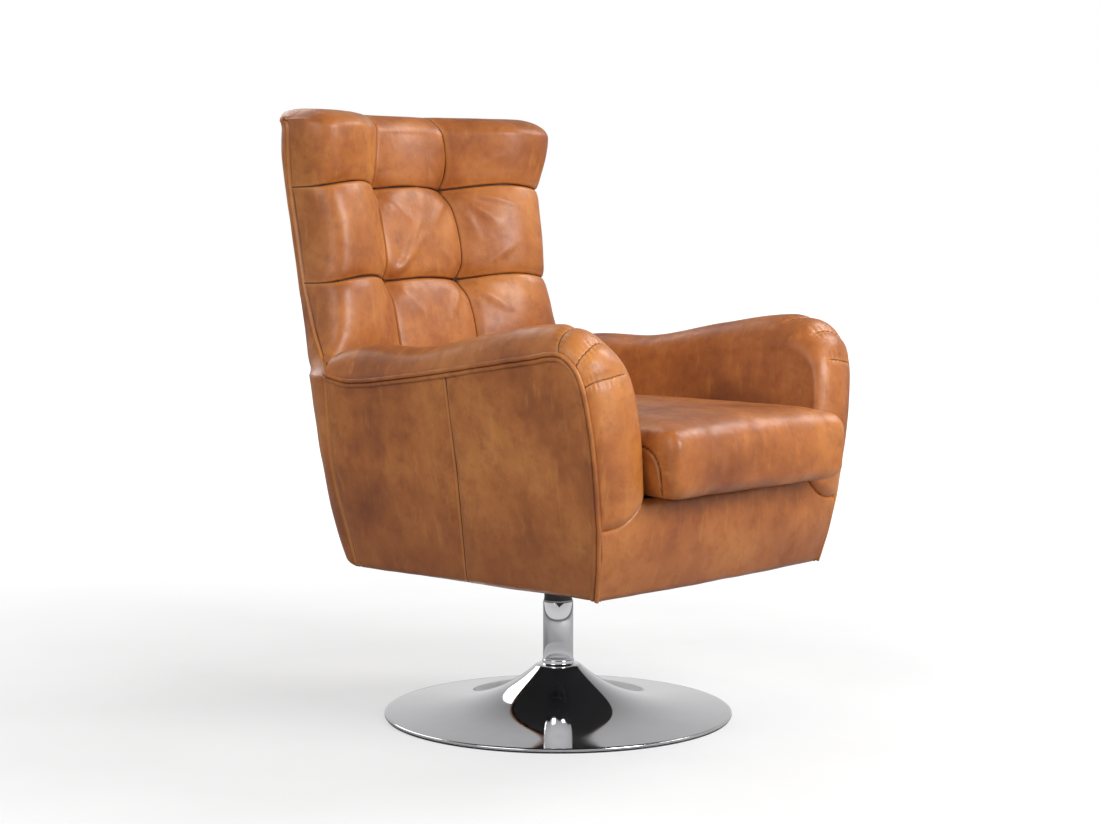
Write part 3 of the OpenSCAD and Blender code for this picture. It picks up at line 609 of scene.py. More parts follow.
class Finishes:
    """Every material of the chair, by the record's slot."""

    def __init__(self) -> None:
        """Makes the materials."""
        self.leather = WaxedLeather().make()
        self.thread = Thread().make()
        self.chrome = MirrorChrome().make()
        self.by_slot = {
            "tan_leather": self.leather,
            "polished_chrome": self.chrome,
            "black_steel": PlainFinish("black_painted_steel", (0.022, 0.022, 0.024), 0.38).make(),
            "cast_weight": PlainFinish(
                "primed_casting", (0.09, 0.09, 0.095), 0.8, grain=220, relief=0.0006
            ).make(),
            "glide_rubber": PlainFinish("black_rubber", (0.02, 0.02, 0.02), 0.72).make(),
            "bush_plastic": PlainFinish(
                "natural_nylon", (0.74, 0.72, 0.66), 0.45, grain=200, relief=0.0001
            ).make(),
            "plain_steel": PlainFinish(
                "bright_zinc", (0.56, 0.57, 0.58), 0.32, metal=1.0, grain=140, relief=0.0001
            ).make(),
            "frame_timber": PlainFinish(
                "sawn_timber", (0.50, 0.33, 0.18), 0.7, grain=60, relief=0.0004, stretch=(4, 0.5, 4),
                contrast=0.4,
            ).make(),
            "foam": PlainFinish("open_foam", (0.74, 0.68, 0.44), 0.95, grain=700, relief=0.0006).make(),
            "black_cloth": PlainFinish("black_lining", (0.022, 0.022, 0.024), 0.92, grain=1400).make(),
        }

    def dress_cad(self) -> None:
        """Gives each CAD node the finish of its slot."""
        for part in frame["record"]["subparts"]:
            node = frame["nodes"][part["node"]]
            for place in node.material_slots:
                place.material = self.by_slot[part["material_slot"]]
            log.info("finish %s on %s", part["material_slot"], part["node"])


# Meshes


class Mesh:
    """One piece while it is shaped: a bmesh with a layer that says how near each point is to a seam, and on
    the back also where painted shade darkens the tufts.
    """

    BROAD_CELLS = 9
    FINE_CELLS = 27
    MERGE = 1e-6

    def __init__(self) -> None:
        """Starts an empty piece."""
        self.bm = bmesh.new()
        self.seam = self.bm.verts.layers.float.new("seam")

    def lay(self, columns: int, rows: int, place: Place, outside: Callable[[Vector], Vector]) -> None:
        """Lays a grid on a surface.

        Args:
            columns: Faces across.
            rows: Faces along.
            place: Gives the point in millimetres and its seam for shares across and along.
            outside: Gives the direction that points out of the chair at a point.
        """
        made = bmesh.ops.create_grid(self.bm, x_segments=columns, y_segments=rows, size=0.5)
        verts = made["verts"]
        for vert in verts:
            point, seam = place(vert.co.x + 0.5, vert.co.y + 0.5)
            vert.co = point * MM
            vert[self.seam] = seam
        faces = list({face for vert in verts for face in vert.link_faces})
        for face in faces:
            face.normal_update()
        turned = sum(f.normal.dot(outside(f.calc_center_median())) * f.calc_area() for f in faces)
        if turned < 0:
            bmesh.ops.reverse_faces(self.bm, faces=faces)

    def soften(self, groove: float, swell: float, seed: float) -> None:
        """Sinks the seams and gives the leather the uneven lie of padding under it.

        Args:
            groove: Depth of a seam in millimetres.
            swell: Height of the unevenness in millimetres.
            seed: Shifts the unevenness, so that pieces differ.
        """
        self.bm.normal_update()
        shift = Vector((seed, -seed, seed * 0.5))
        for vert in self.bm.verts:
            broad = noise.noise(vert.co * self.BROAD_CELLS + shift)
            fine = noise.noise(vert.co * self.FINE_CELLS - shift)
            height = swell * (broad * 0.7 + fine * 0.3) - groove * vert[self.seam]
            vert.co += vert.normal * height * MM

    def tube(self, points: Sequence[Vector], radius: float, sides: int = 10) -> None:
        """Lays a cord along points.

        Args:
            points: The cord's middle line in metres.
            radius: The cord's radius in metres.
            sides: Faces round the cord.
        """
        line = Edge(points)
        made = bmesh.ops.create_grid(self.bm, x_segments=sides, y_segments=len(points) - 1, size=0.5)
        for vert in made["verts"]:
            turn = 2 * math.pi * (vert.co.x + 0.5)
            share = vert.co.y + 0.5
            here = line.at(share)
            ahead = (line.at(min(1, share + 0.004)) - line.at(max(0, share - 0.004))).normalized()
            side = ahead.cross(Vector((1, 0, 0))).normalized()
            up = side.cross(ahead)
            vert.co = here + (side * math.cos(turn) + up * math.sin(turn)) * radius
        bmesh.ops.remove_doubles(self.bm, verts=made["verts"], dist=self.MERGE)
        loose = [edge for edge in self.bm.edges if edge.is_boundary]
        bmesh.ops.holes_fill(self.bm, edges=loose, sides=sides + 2)
        bmesh.ops.recalc_face_normals(self.bm, faces=self.bm.faces)

    def spin(self, profile: Sequence[tuple[float, float]], steps: int) -> None:
        """Turns a profile about the swivel axis.

        Args:
            profile: Radii and heights in millimetres, in order.
            steps: Faces round the axis.
        """
        verts = [self.bm.verts.new((r * MM, 0, z * MM)) for r, z in profile]
        edges = [self.bm.edges.new(pair) for pair in zip(verts, verts[1:])]
        bmesh.ops.spin(
            self.bm,
            geom=[*verts, *edges],
            cent=(0, 0, 0),
            axis=(0, 0, 1),
            angle=2 * math.pi,
            steps=steps,
            use_merge=True,
        )
        bmesh.ops.remove_doubles(self.bm, verts=self.bm.verts, dist=self.MERGE)
        bmesh.ops.recalc_face_normals(self.bm, faces=self.bm.faces)

    def mirror_to(self, hand: Hand) -> None:
        """Turns a piece that was shaped for the left into one for the given side.

        Args:
            hand: Side of the chair.
        """
        if hand is Hand.RIGHT:
            bmesh.ops.scale(self.bm, vec=(-1, 1, 1), verts=self.bm.verts)
            bmesh.ops.reverse_faces(self.bm, faces=self.bm.faces)


def put_in_scene(name: str, data: bpy.types.ID) -> bpy.types.Object:
    """Makes an object of its data and puts it into the scene.

    Args:
        name: The object's name.
        data: The mesh, lamp or camera that it shows.

    Returns:
        The object.
    """
    piece = bpy.data.objects.new(name, data)
    bpy.context.scene.collection.objects.link(piece)
    return piece


def take_applied(piece: bpy.types.Object) -> bpy.types.Mesh:
    """Takes the mesh that a piece's modifiers give, and removes the modifiers.

    Args:
        piece: The piece.

    Returns:
        The mesh. The piece still holds its old one.
    """
    graph = bpy.context.evaluated_depsgraph_get()
    made = bpy.data.meshes.new_from_object(piece.evaluated_get(graph))
    piece.modifiers.clear()
    return made


def finish_piece(
    mesh: Mesh,
    name: str,
    finish: bpy.types.Material,
    body: Body,
    nodes: Sequence[str] = (),
    wall: float = 0.0,
) -> bpy.types.Object:
    """Turns a shaped mesh into a piece of the chair.

    Args:
        mesh: The shaped mesh. It is freed.
        name: The piece's name.
        finish: Its material.
        body: The body that it rides on.
        nodes: CAD nodes that it stands for.
        wall: Thickness to add behind the surface, in millimetres.

    Returns:
        The piece.
    """
    data = bpy.data.meshes.new(name)
    mesh.bm.to_mesh(data)
    mesh.bm.free()
    data.polygons.foreach_set("use_smooth", [True] * len(data.polygons))
    data.materials.append(finish)
    piece = put_in_scene(name, data)
    if wall:
        solid = piece.modifiers.new("wall", "SOLIDIFY")
        solid.thickness = wall * MM
        solid.offset = -1
    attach(piece, body.value)
    if nodes:
        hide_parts(*nodes)
    log.info("%s: %d faces on %s", name, len(data.polygons), body.value)
    return piece


def leather_piece(
    mesh: Mesh,
    name: str,
    finishes: Finishes,
    nodes: Sequence[str],
    wall: float = 0.0,
    body: Body = Body.SEAT,
) -> bpy.types.Object:
    """Turns a shaped mesh into a leather piece.

    Args:
        mesh: The shaped mesh. It is freed.
        name: The piece's name.
        finishes: The chair's materials.
        nodes: CAD nodes that it stands for.
        wall: The leather's thickness behind the surface, in millimetres.
        body: The body that it rides on.

    Returns:
        The piece.
    """
    return finish_piece(mesh, name, finishes.leather, body, nodes, wall)


@dataclass
class StitchRow:
    """A row of stitches along a line, laid on a piece's surface."""

    name: str
    pitch: float = 3.8
    length: float = 2.5
    thick: float = 0.62
    lift: float = 0.15

    def sew(
        self,
        lines: Sequence[Sequence[Vector]],
        piece: bpy.types.Object,
        thread: bpy.types.Material,
        body: Body,
    ) -> bpy.types.Object:
        """Sews stitches along lines.

        Args:
            lines: Runs of points in metres.
            piece: The piece that the stitches lie on.
            thread: The thread's material.
            body: The body that they ride on.

        Returns:
            The stitches as one piece.
        """
        ground = bmesh.new()
        ground.from_mesh(piece.data)
        tree = BVHTree.FromBMesh(ground)
        ground.free()
        mesh = Mesh()
        for line in lines:
            edge = Edge(line)
            count = max(1, int(edge.far[-1] / (self.pitch * MM)))
            for i in range(count):
                here, normal, _, _ = tree.find_nearest(edge.at((i + 0.5) / count))
                ahead = edge.at((i + 0.8) / count) - edge.at((i + 0.2) / count)
                if here is None or ahead.length < 1e-7:
                    continue
                along = (ahead - normal * ahead.dot(normal)).normalized()
                turn = Matrix((along, normal.cross(along), normal)).transposed().to_4x4()
                size = Matrix.Diagonal(
                    (self.length * MM / 2, self.thick * MM / 2, self.thick * MM / 2, 1)
                )
                place = Matrix.Translation(here + normal * self.lift * MM) @ turn @ size
                bmesh.ops.create_icosphere(mesh.bm, subdivisions=1, radius=1, matrix=place)
        return finish_piece(mesh, self.name, thread, body)


# Foot and column


@dataclass
class SwivelFoot:
    """The flared foot, its column and the collar between them."""

    foot_r: float = 287.5
    rim_z: float = 7.0
    rim_r: float = 1.5
    neck_r: float = 37.0
    neck_z: float = 83.0
    rim_rise: float = 24.0
    flare: float = 4.0
    wall: float = 2.0
    ring_z: float = 3.0
    column_r: float = 25.0
    column_wall: float = 3.0
    column_top_z: float = 189.0
    collar_r: float = 26.5
    collar_h: float = 9.0
    flare_steps: int = 72
    turn_steps: int = 192
    column_steps: int = 96

    def skirt_z(self, r: float) -> float:
        """Height of the skirt's face.

        Args:
            r: Radius.

        Returns:
            The height above the floor.
        """
        share = (self.foot_r - r) / (self.foot_r - self.neck_r)
        steep = self.neck_z - self.rim_z - self.rim_rise
        return self.rim_z + self.rim_rise * share + steep * share**self.flare

    def skirt_profile(self) -> list[tuple[float, float]]:
        """Outline of the skirt's wall.

        Returns:
            Radii and heights, from the column out over the face and back underneath.
        """
        reach = self.foot_r - self.rim_r - self.neck_r
        face = [
            (r, self.skirt_z(r))
            for r in (self.neck_r + reach * i / self.flare_steps for i in range(self.flare_steps + 1))
        ]
        rim = [
            (
                self.foot_r - self.rim_r + self.rim_r * math.sin(a),
                self.rim_z - self.rim_r + self.rim_r * math.cos(a),
            )
            for a in (math.pi / 2 * k / 5 for k in range(1, 6))
        ]
        under = [
            (self.foot_r, self.ring_z),
            (self.foot_r - self.wall, self.ring_z),
            (self.foot_r - self.wall, self.rim_z - self.wall - 0.5),
        ]
        back = [(r, z - self.wall * 1.2) for r, z in reversed(face[:-3])]
        return [(self.column_r, self.neck_z), *face, *rim, *under, *back, (self.column_r, self.neck_z - 4)]

    def tube_profile(self) -> list[tuple[float, float]]:
        """Outline of the column's wall.

        Returns:
            Radii and heights, from the inside up over the outside and back.
        """
        inner, outer = self.column_r - self.column_wall, self.column_r
        low, top = self.ring_z, self.column_top_z
        return [
            (inner, low), (outer, low), (outer, top - 0.8), (outer - 0.25, top - 0.25),
            (outer - 0.8, top), (inner, top), (inner, low),
        ]

    def collar_profile(self) -> list[tuple[float, float]]:
        """Outline of the collar's section.

        Returns:
            Radii and heights, from the column out over the collar and back.
        """
        inner, outer = self.column_r, self.collar_r
        low, top = self.neck_z, self.neck_z + self.collar_h
        return [
            (inner, low), (outer, low), (outer, top - 1.0), (outer - 0.3, top - 0.4),
            (outer - 0.9, top), (inner, top), (inner, low),
        ]

    def build(self, finishes: Finishes) -> None:
        """Builds the foot's chrome pieces.

        Args:
            finishes: The chair's materials.
        """
        shapes = [
            ("flared_foot", self.skirt_profile(), self.turn_steps, "foot_skirt"),
            ("chrome_column", self.tube_profile(), self.column_steps, "column_tube"),
            ("column_ring", self.collar_profile(), self.column_steps, "column_collar"),
        ]
        for name, profile, steps, node in shapes:
            mesh = Mesh()
            mesh.spin(profile, steps)
            finish_piece(mesh, name, finishes.chrome, Body.BASE, [node])


# Body


@dataclass
class BodyPlanes:
    """The leaning planes that the sides and the arms' insides lie on, and the lines of the arm."""

    underside_z: float = 257.0
    foot_half_w: float = 277.0
    side_lean: float = 0.17
    deck_z: float = 405.0
    arm_w: float = 68.0
    inner_lean: float = 0.125
    front_y: float = -325.0
    rear_y: float = 186.0
    arm_top_z: float = 660.0
    top_z: float = 999.0
    seam_z: float = 366.0
    mid_seam_y: float = -66.0
    hem: float = 9.0
    hem_in: float = 6.0
    leather: float = 2.2
    corner_key: float = 5.3
    ear_start: float = 232.0
    ear_turn: float = 252.0
    ear_end: float = 278.0
    ear_slope: float = 6.0
    ear_fall: float = 11.0
    welt: SmoothLine = field(init=False)
    ridge: SmoothLine = field(init=False)
    inner: SmoothLine = field(init=False)
    low_seam_y: Table = field(init=False)
    high_seam_x: Table = field(init=False)
    high_seam_y: Table = field(init=False)

    def __post_init__(self) -> None:
        """Draws the arm's three lines and the seam that runs up the side and the back."""
        top, front, rear, low = self.arm_top_z, self.front_y, self.rear_y, self.seam_z
        self.welt = SmoothLine([
            (rear + 17, top - 93), (rear - 36, top - 101), (20, top - 88), (-120, top - 68),
            (front + 75, top - 49), (front + 20, top - 44), (front - 9, top - 70),
            (front - 20, top - 140), (front - 21, low + 64), (front - 21, low),
        ])
        self.ridge = SmoothLine([
            (rear + 34, top - 53), (rear - 36, top - 43), (20, top - 42), (-126, top - 17),
            (front + 60, top), (front + 6, top - 14), (front - 34, top - 57),
            (front - 46, top - 140), (front - 44, low + 70), (front - 35, low),
        ])
        self.inner = SmoothLine([
            (rear + 42, top - 88), (rear - 36, top - 98), (20, top - 86), (-120, top - 70),
            (front + 75, top - 57), (front + 20, top - 60), (front - 14, top - 86),
            (front - 26, top - 150), (front - 26, low + 64), (front - 25, low),
        ])
        side_top, half = self.side_top_z, self.foot_half_w
        self.low_seam_y = Table([
            (self.underside_z, rear), (self.underside_z + 169, rear + 28), (side_top, rear + 17)
        ])
        self.high_seam_x = Table([
            (side_top, self.side_x(side_top)), (side_top + 12, half + 29), (side_top + 34, half + 9),
            (top - 5, half - 6), (768, half - 14), (878, half - 5), (self.top_z - 34, half + 9),
            (self.top_z - 12, half + 9), (self.top_z, half + 3),
        ])
        self.high_seam_y = Table([
            (side_top, rear + 17), (side_top + 12, 228), (side_top + 34, 260), (top - 5, 300),
            (768, 337), (878, 348), (self.top_z - 34, 337), (self.top_z - 12, 344), (self.top_z, 354),
        ])

    @property
    def side_top_z(self) -> float:
        """Height where the side's rear seam meets the arm."""
        return self.arm_top_z - 94

    def side_x(self, z: float) -> float:
        """Half width of the body at a height, over its leaning side."""
        return self.foot_half_w + self.side_lean * (z - self.underside_z)

    def inner_x(self, z: float) -> float:
        """Half width between the arms at a height."""
        return self.foot_half_w - self.arm_w + self.inner_lean * (z - self.deck_z)

    def rear_seam(self, z: float) -> tuple[float, float]:
        """Place of the seam round the outer back.

        Args:
            z: Height.

        Returns:
            Half width and distance behind the axis.
        """
        if z <= self.side_top_z:
            return self.side_x(z), self.low_seam_y.at(z)
        return self.high_seam_x.at(z), self.high_seam_y.at(z)

    def hem_at(self, z: float) -> float:
        """How far the covers turn in at a height, where they wrap round the underside."""
        return self.hem_in * max(0.0, (self.underside_z + self.hem - z) / self.hem) ** 2

    def hem_rise(self, inward: float) -> float:
        """How far the seam under an arm's front rises, from the welt to the inside.

        Args:
            inward: Share across the arm, from 0 at the welt to 1 at the inside.

        Returns:
            The height above the seam's outer end.
        """
        return (self.deck_z - 1 - self.seam_z) * inward**2.6

    def ear_drop(self, x: float, rise: float) -> float:
        """How far the back's top edge is rounded down towards its ears.

        Args:
            x: Place across.
            rise: Share of the roll's height, from 0 at its foot to 1 at the top.

        Returns:
            The drop.
        """
        out = min(abs(x), self.ear_end + 0.5)
        wide = max(0.0, (out - self.ear_start) / (self.ear_end - self.ear_start))
        tight = max(0.0, (out - self.ear_turn) / (self.ear_end - self.ear_turn))
        return (self.ear_slope * wide**2 + self.ear_fall * tight**2) * max(0.0, rise) ** 2

    def arm_point(self, key: float, turn: float) -> Vector:
        """Point on the rolled arm.

        Args:
            key: Key number along the arm.
            turn: Angle over the arm, from 0 at the welt to pi at the inner edge.

        Returns:
            The point in millimetres.
        """
        w, r, q = self.welt.at(key), self.ridge.at(key), self.inner.at(key)
        outer = Vector((self.side_x(w.y), w.x, w.y))
        inner = Vector((self.inner_x(q.y), q.x, q.y))
        middle = (outer + inner) / 2
        crest = Vector((middle.x, r.x, r.y))
        return middle + (outer - middle) * math.cos(turn) + (crest - middle) * math.sin(turn)


@dataclass
class Sides:
    """The outer side panels, with their middle and rear seams and the double welt."""

    planes: BodyPlanes
    cord_r: float = 3.5
    cord_gap: float = 3.7
    set_back: float = 5.0
    bulge: float = 4.0
    roll_off: float = 11.0
    seam_sink: float = 1.6
    seam_wide: float = 1.8
    welt_steps: int = 420
    # Rows of stitches along a panel, as shares from its start edge to its end edge
    front_rows: tuple[float, ...] = (0.018,)
    rear_rows: tuple[float, ...] = (0.98, 0.024)

    def rear_edge(self) -> Edge:
        """Rear edge of the side, from the underside up.

        Returns:
            The edge as Y and Z.
        """
        p = self.planes
        heights = [p.underside_z + (p.side_top_z - p.underside_z) * i / 60 for i in range(61)]
        return Edge([Vector((p.rear_seam(z)[1], z)) for z in heights])

    def mid_seam(self) -> Edge:
        """Middle seam, from the underside up.

        Returns:
            The edge as Y and Z.
        """
        p = self.planes
        foot = Vector((p.mid_seam_y + 8, p.underside_z))
        middle = Vector((p.mid_seam_y, p.underside_z + 170))
        return Edge([foot, middle, p.welt.at(self._key_at_mid())])

    def _key_at_mid(self) -> float:
        """Key number of the welt where the middle seam meets it."""
        steps = [2 + i / 200 for i in range(201)]
        return min(steps, key=lambda k: abs(self.planes.welt.at(k).x - self.planes.mid_seam_y))

    def patches(self) -> tuple[Patch, Patch]:
        """Outlines of the front and the rear panel.

        Returns:
            The two patches.
        """
        p = self.planes
        mid, meet = self.mid_seam(), self._key_at_mid()
        front = Patch(
            Edge([mid.at(0), Vector((p.front_y, p.underside_z))]),
            Edge(p.welt.points(meet, p.corner_key, 80)),
            mid,
            Edge([
                Vector((p.front_y, p.underside_z)), Vector((p.front_y - 12, p.underside_z + 50)),
                *p.welt.points(p.welt.last, p.corner_key, 80),
            ]),
        )
        rear_edge = self.rear_edge()
        rear = Patch(
            Edge([rear_edge.at(0), mid.at(0)]), Edge(p.welt.points(0, meet, 80)), rear_edge, mid
        )
        return front, rear

    def panel(
        self, hand: Hand, patch: Patch, word: str, seams: tuple[bool, bool], finishes: Finishes
    ) -> None:
        """Builds one side panel.

        Args:
            hand: Side of the chair.
            patch: The panel's outline.
            word: front or rear.
            seams: Whether its start and its end edge are seams that sink.
            finishes: The chair's materials.
        """
        p = self.planes
        mesh = Mesh()

        def place(u: float, v: float) -> Spot:
            """Point of the panel and its seam.

            Args:
                u: Share from the panel's start edge to its end edge.
                v: Share up the panel.

            Returns:
                The point in millimetres and the seam.
            """
            across = ends_dense(u)
            q = patch.at(across, v)
            width = (patch.at(1, v) - patch.at(0, v)).length
            edges = [across * width if seams[0] else 99.0, (1 - across) * width if seams[1] else 99.0]
            seam = seam_tone(min(edges), 1.0)
            roll = 1 - near(min(across, 1 - across) * width, self.roll_off)
            full = self.bulge * math.sin(math.pi * min(1, max(0, v))) ** 0.7 * roll
            sink = self.seam_sink * near(min(edges), self.seam_wide)
            return Vector((p.side_x(q.y) + full - 1.0 - sink - p.hem_at(q.y), q.x, q.y)), seam

        mesh.lay(110, 110, place, lambda point: Vector((1, 0, 0)))
        mesh.soften(groove=0.6, swell=1.7, seed=3.0 if word == "front" else 8.0)
        mesh.mirror_to(hand)
        node = f"side_{word}_{hand.word}"
        piece = leather_piece(
            mesh, f"side_leather_{word}_{hand.word}", finishes, [node], wall=self.planes.leather
        )
        rows = self.front_rows if word == "front" else self.rear_rows
        lines = [[self.on_side(patch.at(share, v / 80), hand) for v in range(1, 80)] for share in rows]
        StitchRow(f"stitches_side_{word}_{hand.word}").sew(lines, piece, finishes.thread, Body.SEAT)

    def on_side(self, q: Vector, hand: Hand) -> Vector:
        """Point in metres on the side plane."""
        return Vector((hand.value * self.planes.side_x(q.y), q.x, q.y)) * MM

    def welt_line(self) -> list[Vector]:
        """Line of the double welt, from the arm's rear end down to the underside.

        Returns:
            The points as Y and Z.
        """
        p = self.planes
        tail = [Vector((p.front_y - 12, p.underside_z + 50)), Vector((p.front_y, p.underside_z + 1))]
        run = Edge([*p.welt.points(0, p.welt.last, 300), *tail])
        return [run.at(i / self.welt_steps) for i in range(self.welt_steps + 1)]

    def build_welt(self, hand: Hand, finishes: Finishes) -> None:
        """Builds the two cords of the welt and the row of stitches between them.

        Args:
            hand: Side of the chair.
            finishes: The chair's materials.
        """
        line = self.welt_line()
        mesh = Mesh()
        for shift in (-self.cord_gap, self.cord_gap):
            points = []
            for i, q in enumerate(line):
                step = (line[min(i + 1, self.welt_steps)] - line[max(i - 1, 0)]).normalized()
                r = q + Vector((step.y, -step.x)) * shift
                r.x += self.set_back * min(1.0, max(0.0, (self.planes.seam_z + 90 - r.y) / 90))
                points.append(Vector((self.planes.side_x(r.y) + 1.2, r.x, r.y)) * MM)
            mesh.tube(points, self.cord_r * MM)
        for vert in mesh.bm.verts:
            vert.co += Vector((0, 0, 1)) * noise.noise(vert.co * 60) * 0.5 * MM
        mesh.mirror_to(hand)
        piece = leather_piece(
            mesh, f"double_welt_{hand.word}", finishes, [f"arm_welt_{hand.word}"]
        )
        row = StitchRow(f"stitches_welt_{hand.word}", pitch=4.2, length=2.8, thick=0.7, lift=-0.1)
        row.sew([[self.on_side(q, hand) for q in line]], piece, finishes.thread, Body.SEAT)

    def build(self, finishes: Finishes) -> None:
        """Builds both sides.

        Args:
            finishes: The chair's materials.
        """
        front, rear = self.patches()
        for hand in Hand:
            self.panel(hand, front, "front", (True, False), finishes)
            self.panel(hand, rear, "rear", (True, True), finishes)
            self.build_welt(hand, finishes)


@dataclass
class Arms:
    """The arm covers, which roll over the arms and run down their insides, with darts round the front."""

    planes: BodyPlanes
    # Each dart gives its key number along the arm by the angle over the arm, in degrees
    darts: tuple[Table, ...] = (
        Table([(0, 4.98), (27, 4.73), (96, 4.35), (126, 4.08), (180, 3.9)]),
        Table([(0, 5.78), (27, 5.62), (51, 5.5), (84, 5.3), (117, 5.18), (180, 5.05)]),
        Table([(0, 6.3), (66, 6.23), (105, 6.12), (153, 5.93), (180, 5.85)]),
    )
    faint_dart: Table = Table([(0, 1.05), (60, 0.95), (110, 0.6), (180, 0.3)])
    dart_end: float = 112.0
    dart_fade: float = 16.0
    dart_wide: float = 11.0
    dart_pull: float = 3.2
    puff: float = 1.5
    gather: float = 0.8
    roll_share: float = 0.7
    front_key: float = 6.45
    cap_share: float = 0.014
    cap_bulge: float = 8.0
    # Key number by the share of the grid along the arm
    stops: Table = Table([(0, 0), (0.014, 0), (0.24, 3.75), (0.8, 6.45), (1, 9)])
    # Place along Y of the inside's lower edge by key number
    drop_y: Table = Table([
        (0, 236), (1, 150), (2, 24), (3, -96), (4, -190), (5, -258), (6, -296), (7, -318),
        (8.3, -336), (9, -341),
    ])
    drop_z: float = 398.0
    last_run: float = 65.0
    tuck_keys: float = 0.22
    tuck_in: float = 14.0

    def key_at(self, v: float, inward: float) -> tuple[float, float]:
        """Key number along the arm, and how near it is to the cover's lower end.

        Args:
            v: Share along the cover.
            inward: Share across the arm, from 0 at the welt to 1 at the inside.

        Returns:
            The key number, and the nearness from 0 to 1.
        """
        key, end = self.stops.at(v), self.planes.welt.last
        last = end - self.planes.hem_rise(inward) / self.last_run
        if key > self.front_key:
            key = self.front_key + (key - self.front_key) * (last - self.front_key) / (end - self.front_key)
        return key, max(0.0, (key - last + self.tuck_keys) / self.tuck_keys)

    def cover_place(self, u: float, v: float) -> Spot:
        """Point of the arm cover and its seam.

        Args:
            u: Share over the arm and down its inside.
            v: Share along the arm.

        Returns:
            The point in millimetres and the seam.
        """
        p = self.planes
        turn = math.pi * min(1.0, u / self.roll_share)
        key, close = self.key_at(v, (1 - math.cos(turn)) / 2)
        here = p.arm_point(key, turn)
        ahead, behind = min(p.welt.last, key + 0.05), max(0, key - 0.05)
        stretch = (p.arm_point(ahead, turn) - p.arm_point(behind, turn)).length / 0.1
        degrees = math.degrees(turn)
        fade = min(1.0, max(0.0, 1 - (degrees - self.dart_end) / self.dart_fade))
        seam, pinch = 0.0, 0.0
        for table in self.darts:
            off = abs(key - table.at(degrees)) * stretch
            seam = max(seam, seam_tone(off, 1.0) * fade)
            pinch = max(pinch, near(off, self.dart_wide) * fade)
        off = abs(key - self.faint_dart.at(degrees)) * stretch
        seam = max(seam, 0.4 * near(off, 1.2) * fade)
        over = math.sin(turn)
        middle = (p.arm_point(key, 0) + p.arm_point(key, math.pi)) / 2
        out = (here - middle).normalized()
        gather = self.gather * pinch * math.sin(degrees * 0.55) * (1 - seam)
        here += out * (over * (self.puff - self.dart_pull * pinch) + gather)
        rear = near(key * 60, 22)
        here += Vector((0, -9, -3)) * rear * over**2
        cap = min(1.0, v / self.cap_share)
        down = max(0.0, (u - self.roll_share) / (1 - self.roll_share))
        if down > 0:
            q = Vector((here.y, here.z)).lerp(Vector((self.drop_y.at(key), min(self.drop_z, here.z))), down)
            here = Vector((p.inner_x(q.y) + 0.15 * min(1.0, down * 8), q.x, q.y))
        if cap < 1:
            closed = max(0.0, 1 - 8 * down)
            centre = middle + Vector((0, self.cap_bulge - 4, 14))
            spot = centre + (here - centre) * cap**0.8
            spot.y += self.cap_bulge * (1 - cap * cap)
            here = here.lerp(spot, closed)
            here.y += 6 * (1 - cap) * (1 - closed)
        here.y += self.tuck_in * close**2.2 * (0.35 + 0.65 * over)
        here.z -= 3 * close
        return here, seam

    def build(self, finishes: Finishes) -> None:
        """Builds both arm covers.

        Args:
            finishes: The chair's materials.
        """
        for hand in Hand:
            mesh = Mesh()
            mesh.lay(82, 430, self.cover_place, lambda point: Vector((0, point.y + 0.06, point.z - 0.5)))
            mesh.soften(groove=1.6, swell=1.0, seed=14.0)
            mesh.mirror_to(hand)
            nodes = [f"arm_{part}_{hand.word}" for part in ("cover", "foam", "inside")]
            leather_piece(mesh, f"arm_leather_{hand.word}", finishes, nodes, wall=self.planes.leather)


@dataclass
class FrontPanel:
    """The front below the arms and under the cushion."""

    planes: BodyPlanes
    crown: float = 9.0
    top_ahead: float = 21.0

    def line_y(self, z: float) -> float:
        """Distance of the front at its edges.

        Args:
            z: Height.

        Returns:
            The place along Y.
        """
        p = self.planes
        rise = min(1.0, max(0.0, (z - p.underside_z) / (p.seam_z - p.underside_z)))
        return p.front_y - self.top_ahead * math.sin(rise * math.pi / 2) ** 1.1

    def place(self, u: float, v: float) -> Spot:
        """Point of the panel and its seam.

        Args:
            u: Share across.
            v: Share up.

        Returns:
            The point in millimetres and the seam.
        """
        p = self.planes
        across = 2 * u - 1
        outer, inner = p.side_x(p.seam_z), p.inner_x(p.deck_z)
        inward = min(1.0, (1 - abs(across)) * outer / (outer - inner))
        top = p.seam_z + p.hem_rise(inward)
        z = p.underside_z + (top - p.underside_z) * v
        x = across * p.side_x(min(z, p.seam_z))
        y = self.line_y(z) - self.crown * (1 - abs(across) ** 4) + p.hem_at(z)
        under_arm = inward < 1
        if under_arm:
            y += 5 * near(top - z, 4)
        else:
            y += 9 * max(0.0, (z - top + 12) / 12) ** 2
        seam = seam_tone(top - z, 1.1) if under_arm else 0.0
        edge = p.side_x(z) - abs(x)
        return Vector((x, y, z)), max(seam, 0.8 * near(edge, 1.5))

    def build(self, finishes: Finishes) -> None:
        """Builds the front panel.

        Args:
            finishes: The chair's materials.
        """
        mesh = Mesh()
        mesh.lay(200, 110, self.place, lambda point: Vector((0, -1, 0)))
        mesh.soften(groove=0.6, swell=1.6, seed=33.0)
        leather_piece(mesh, "front_leather", finishes, ["front_panel"], wall=self.planes.leather)


# Back


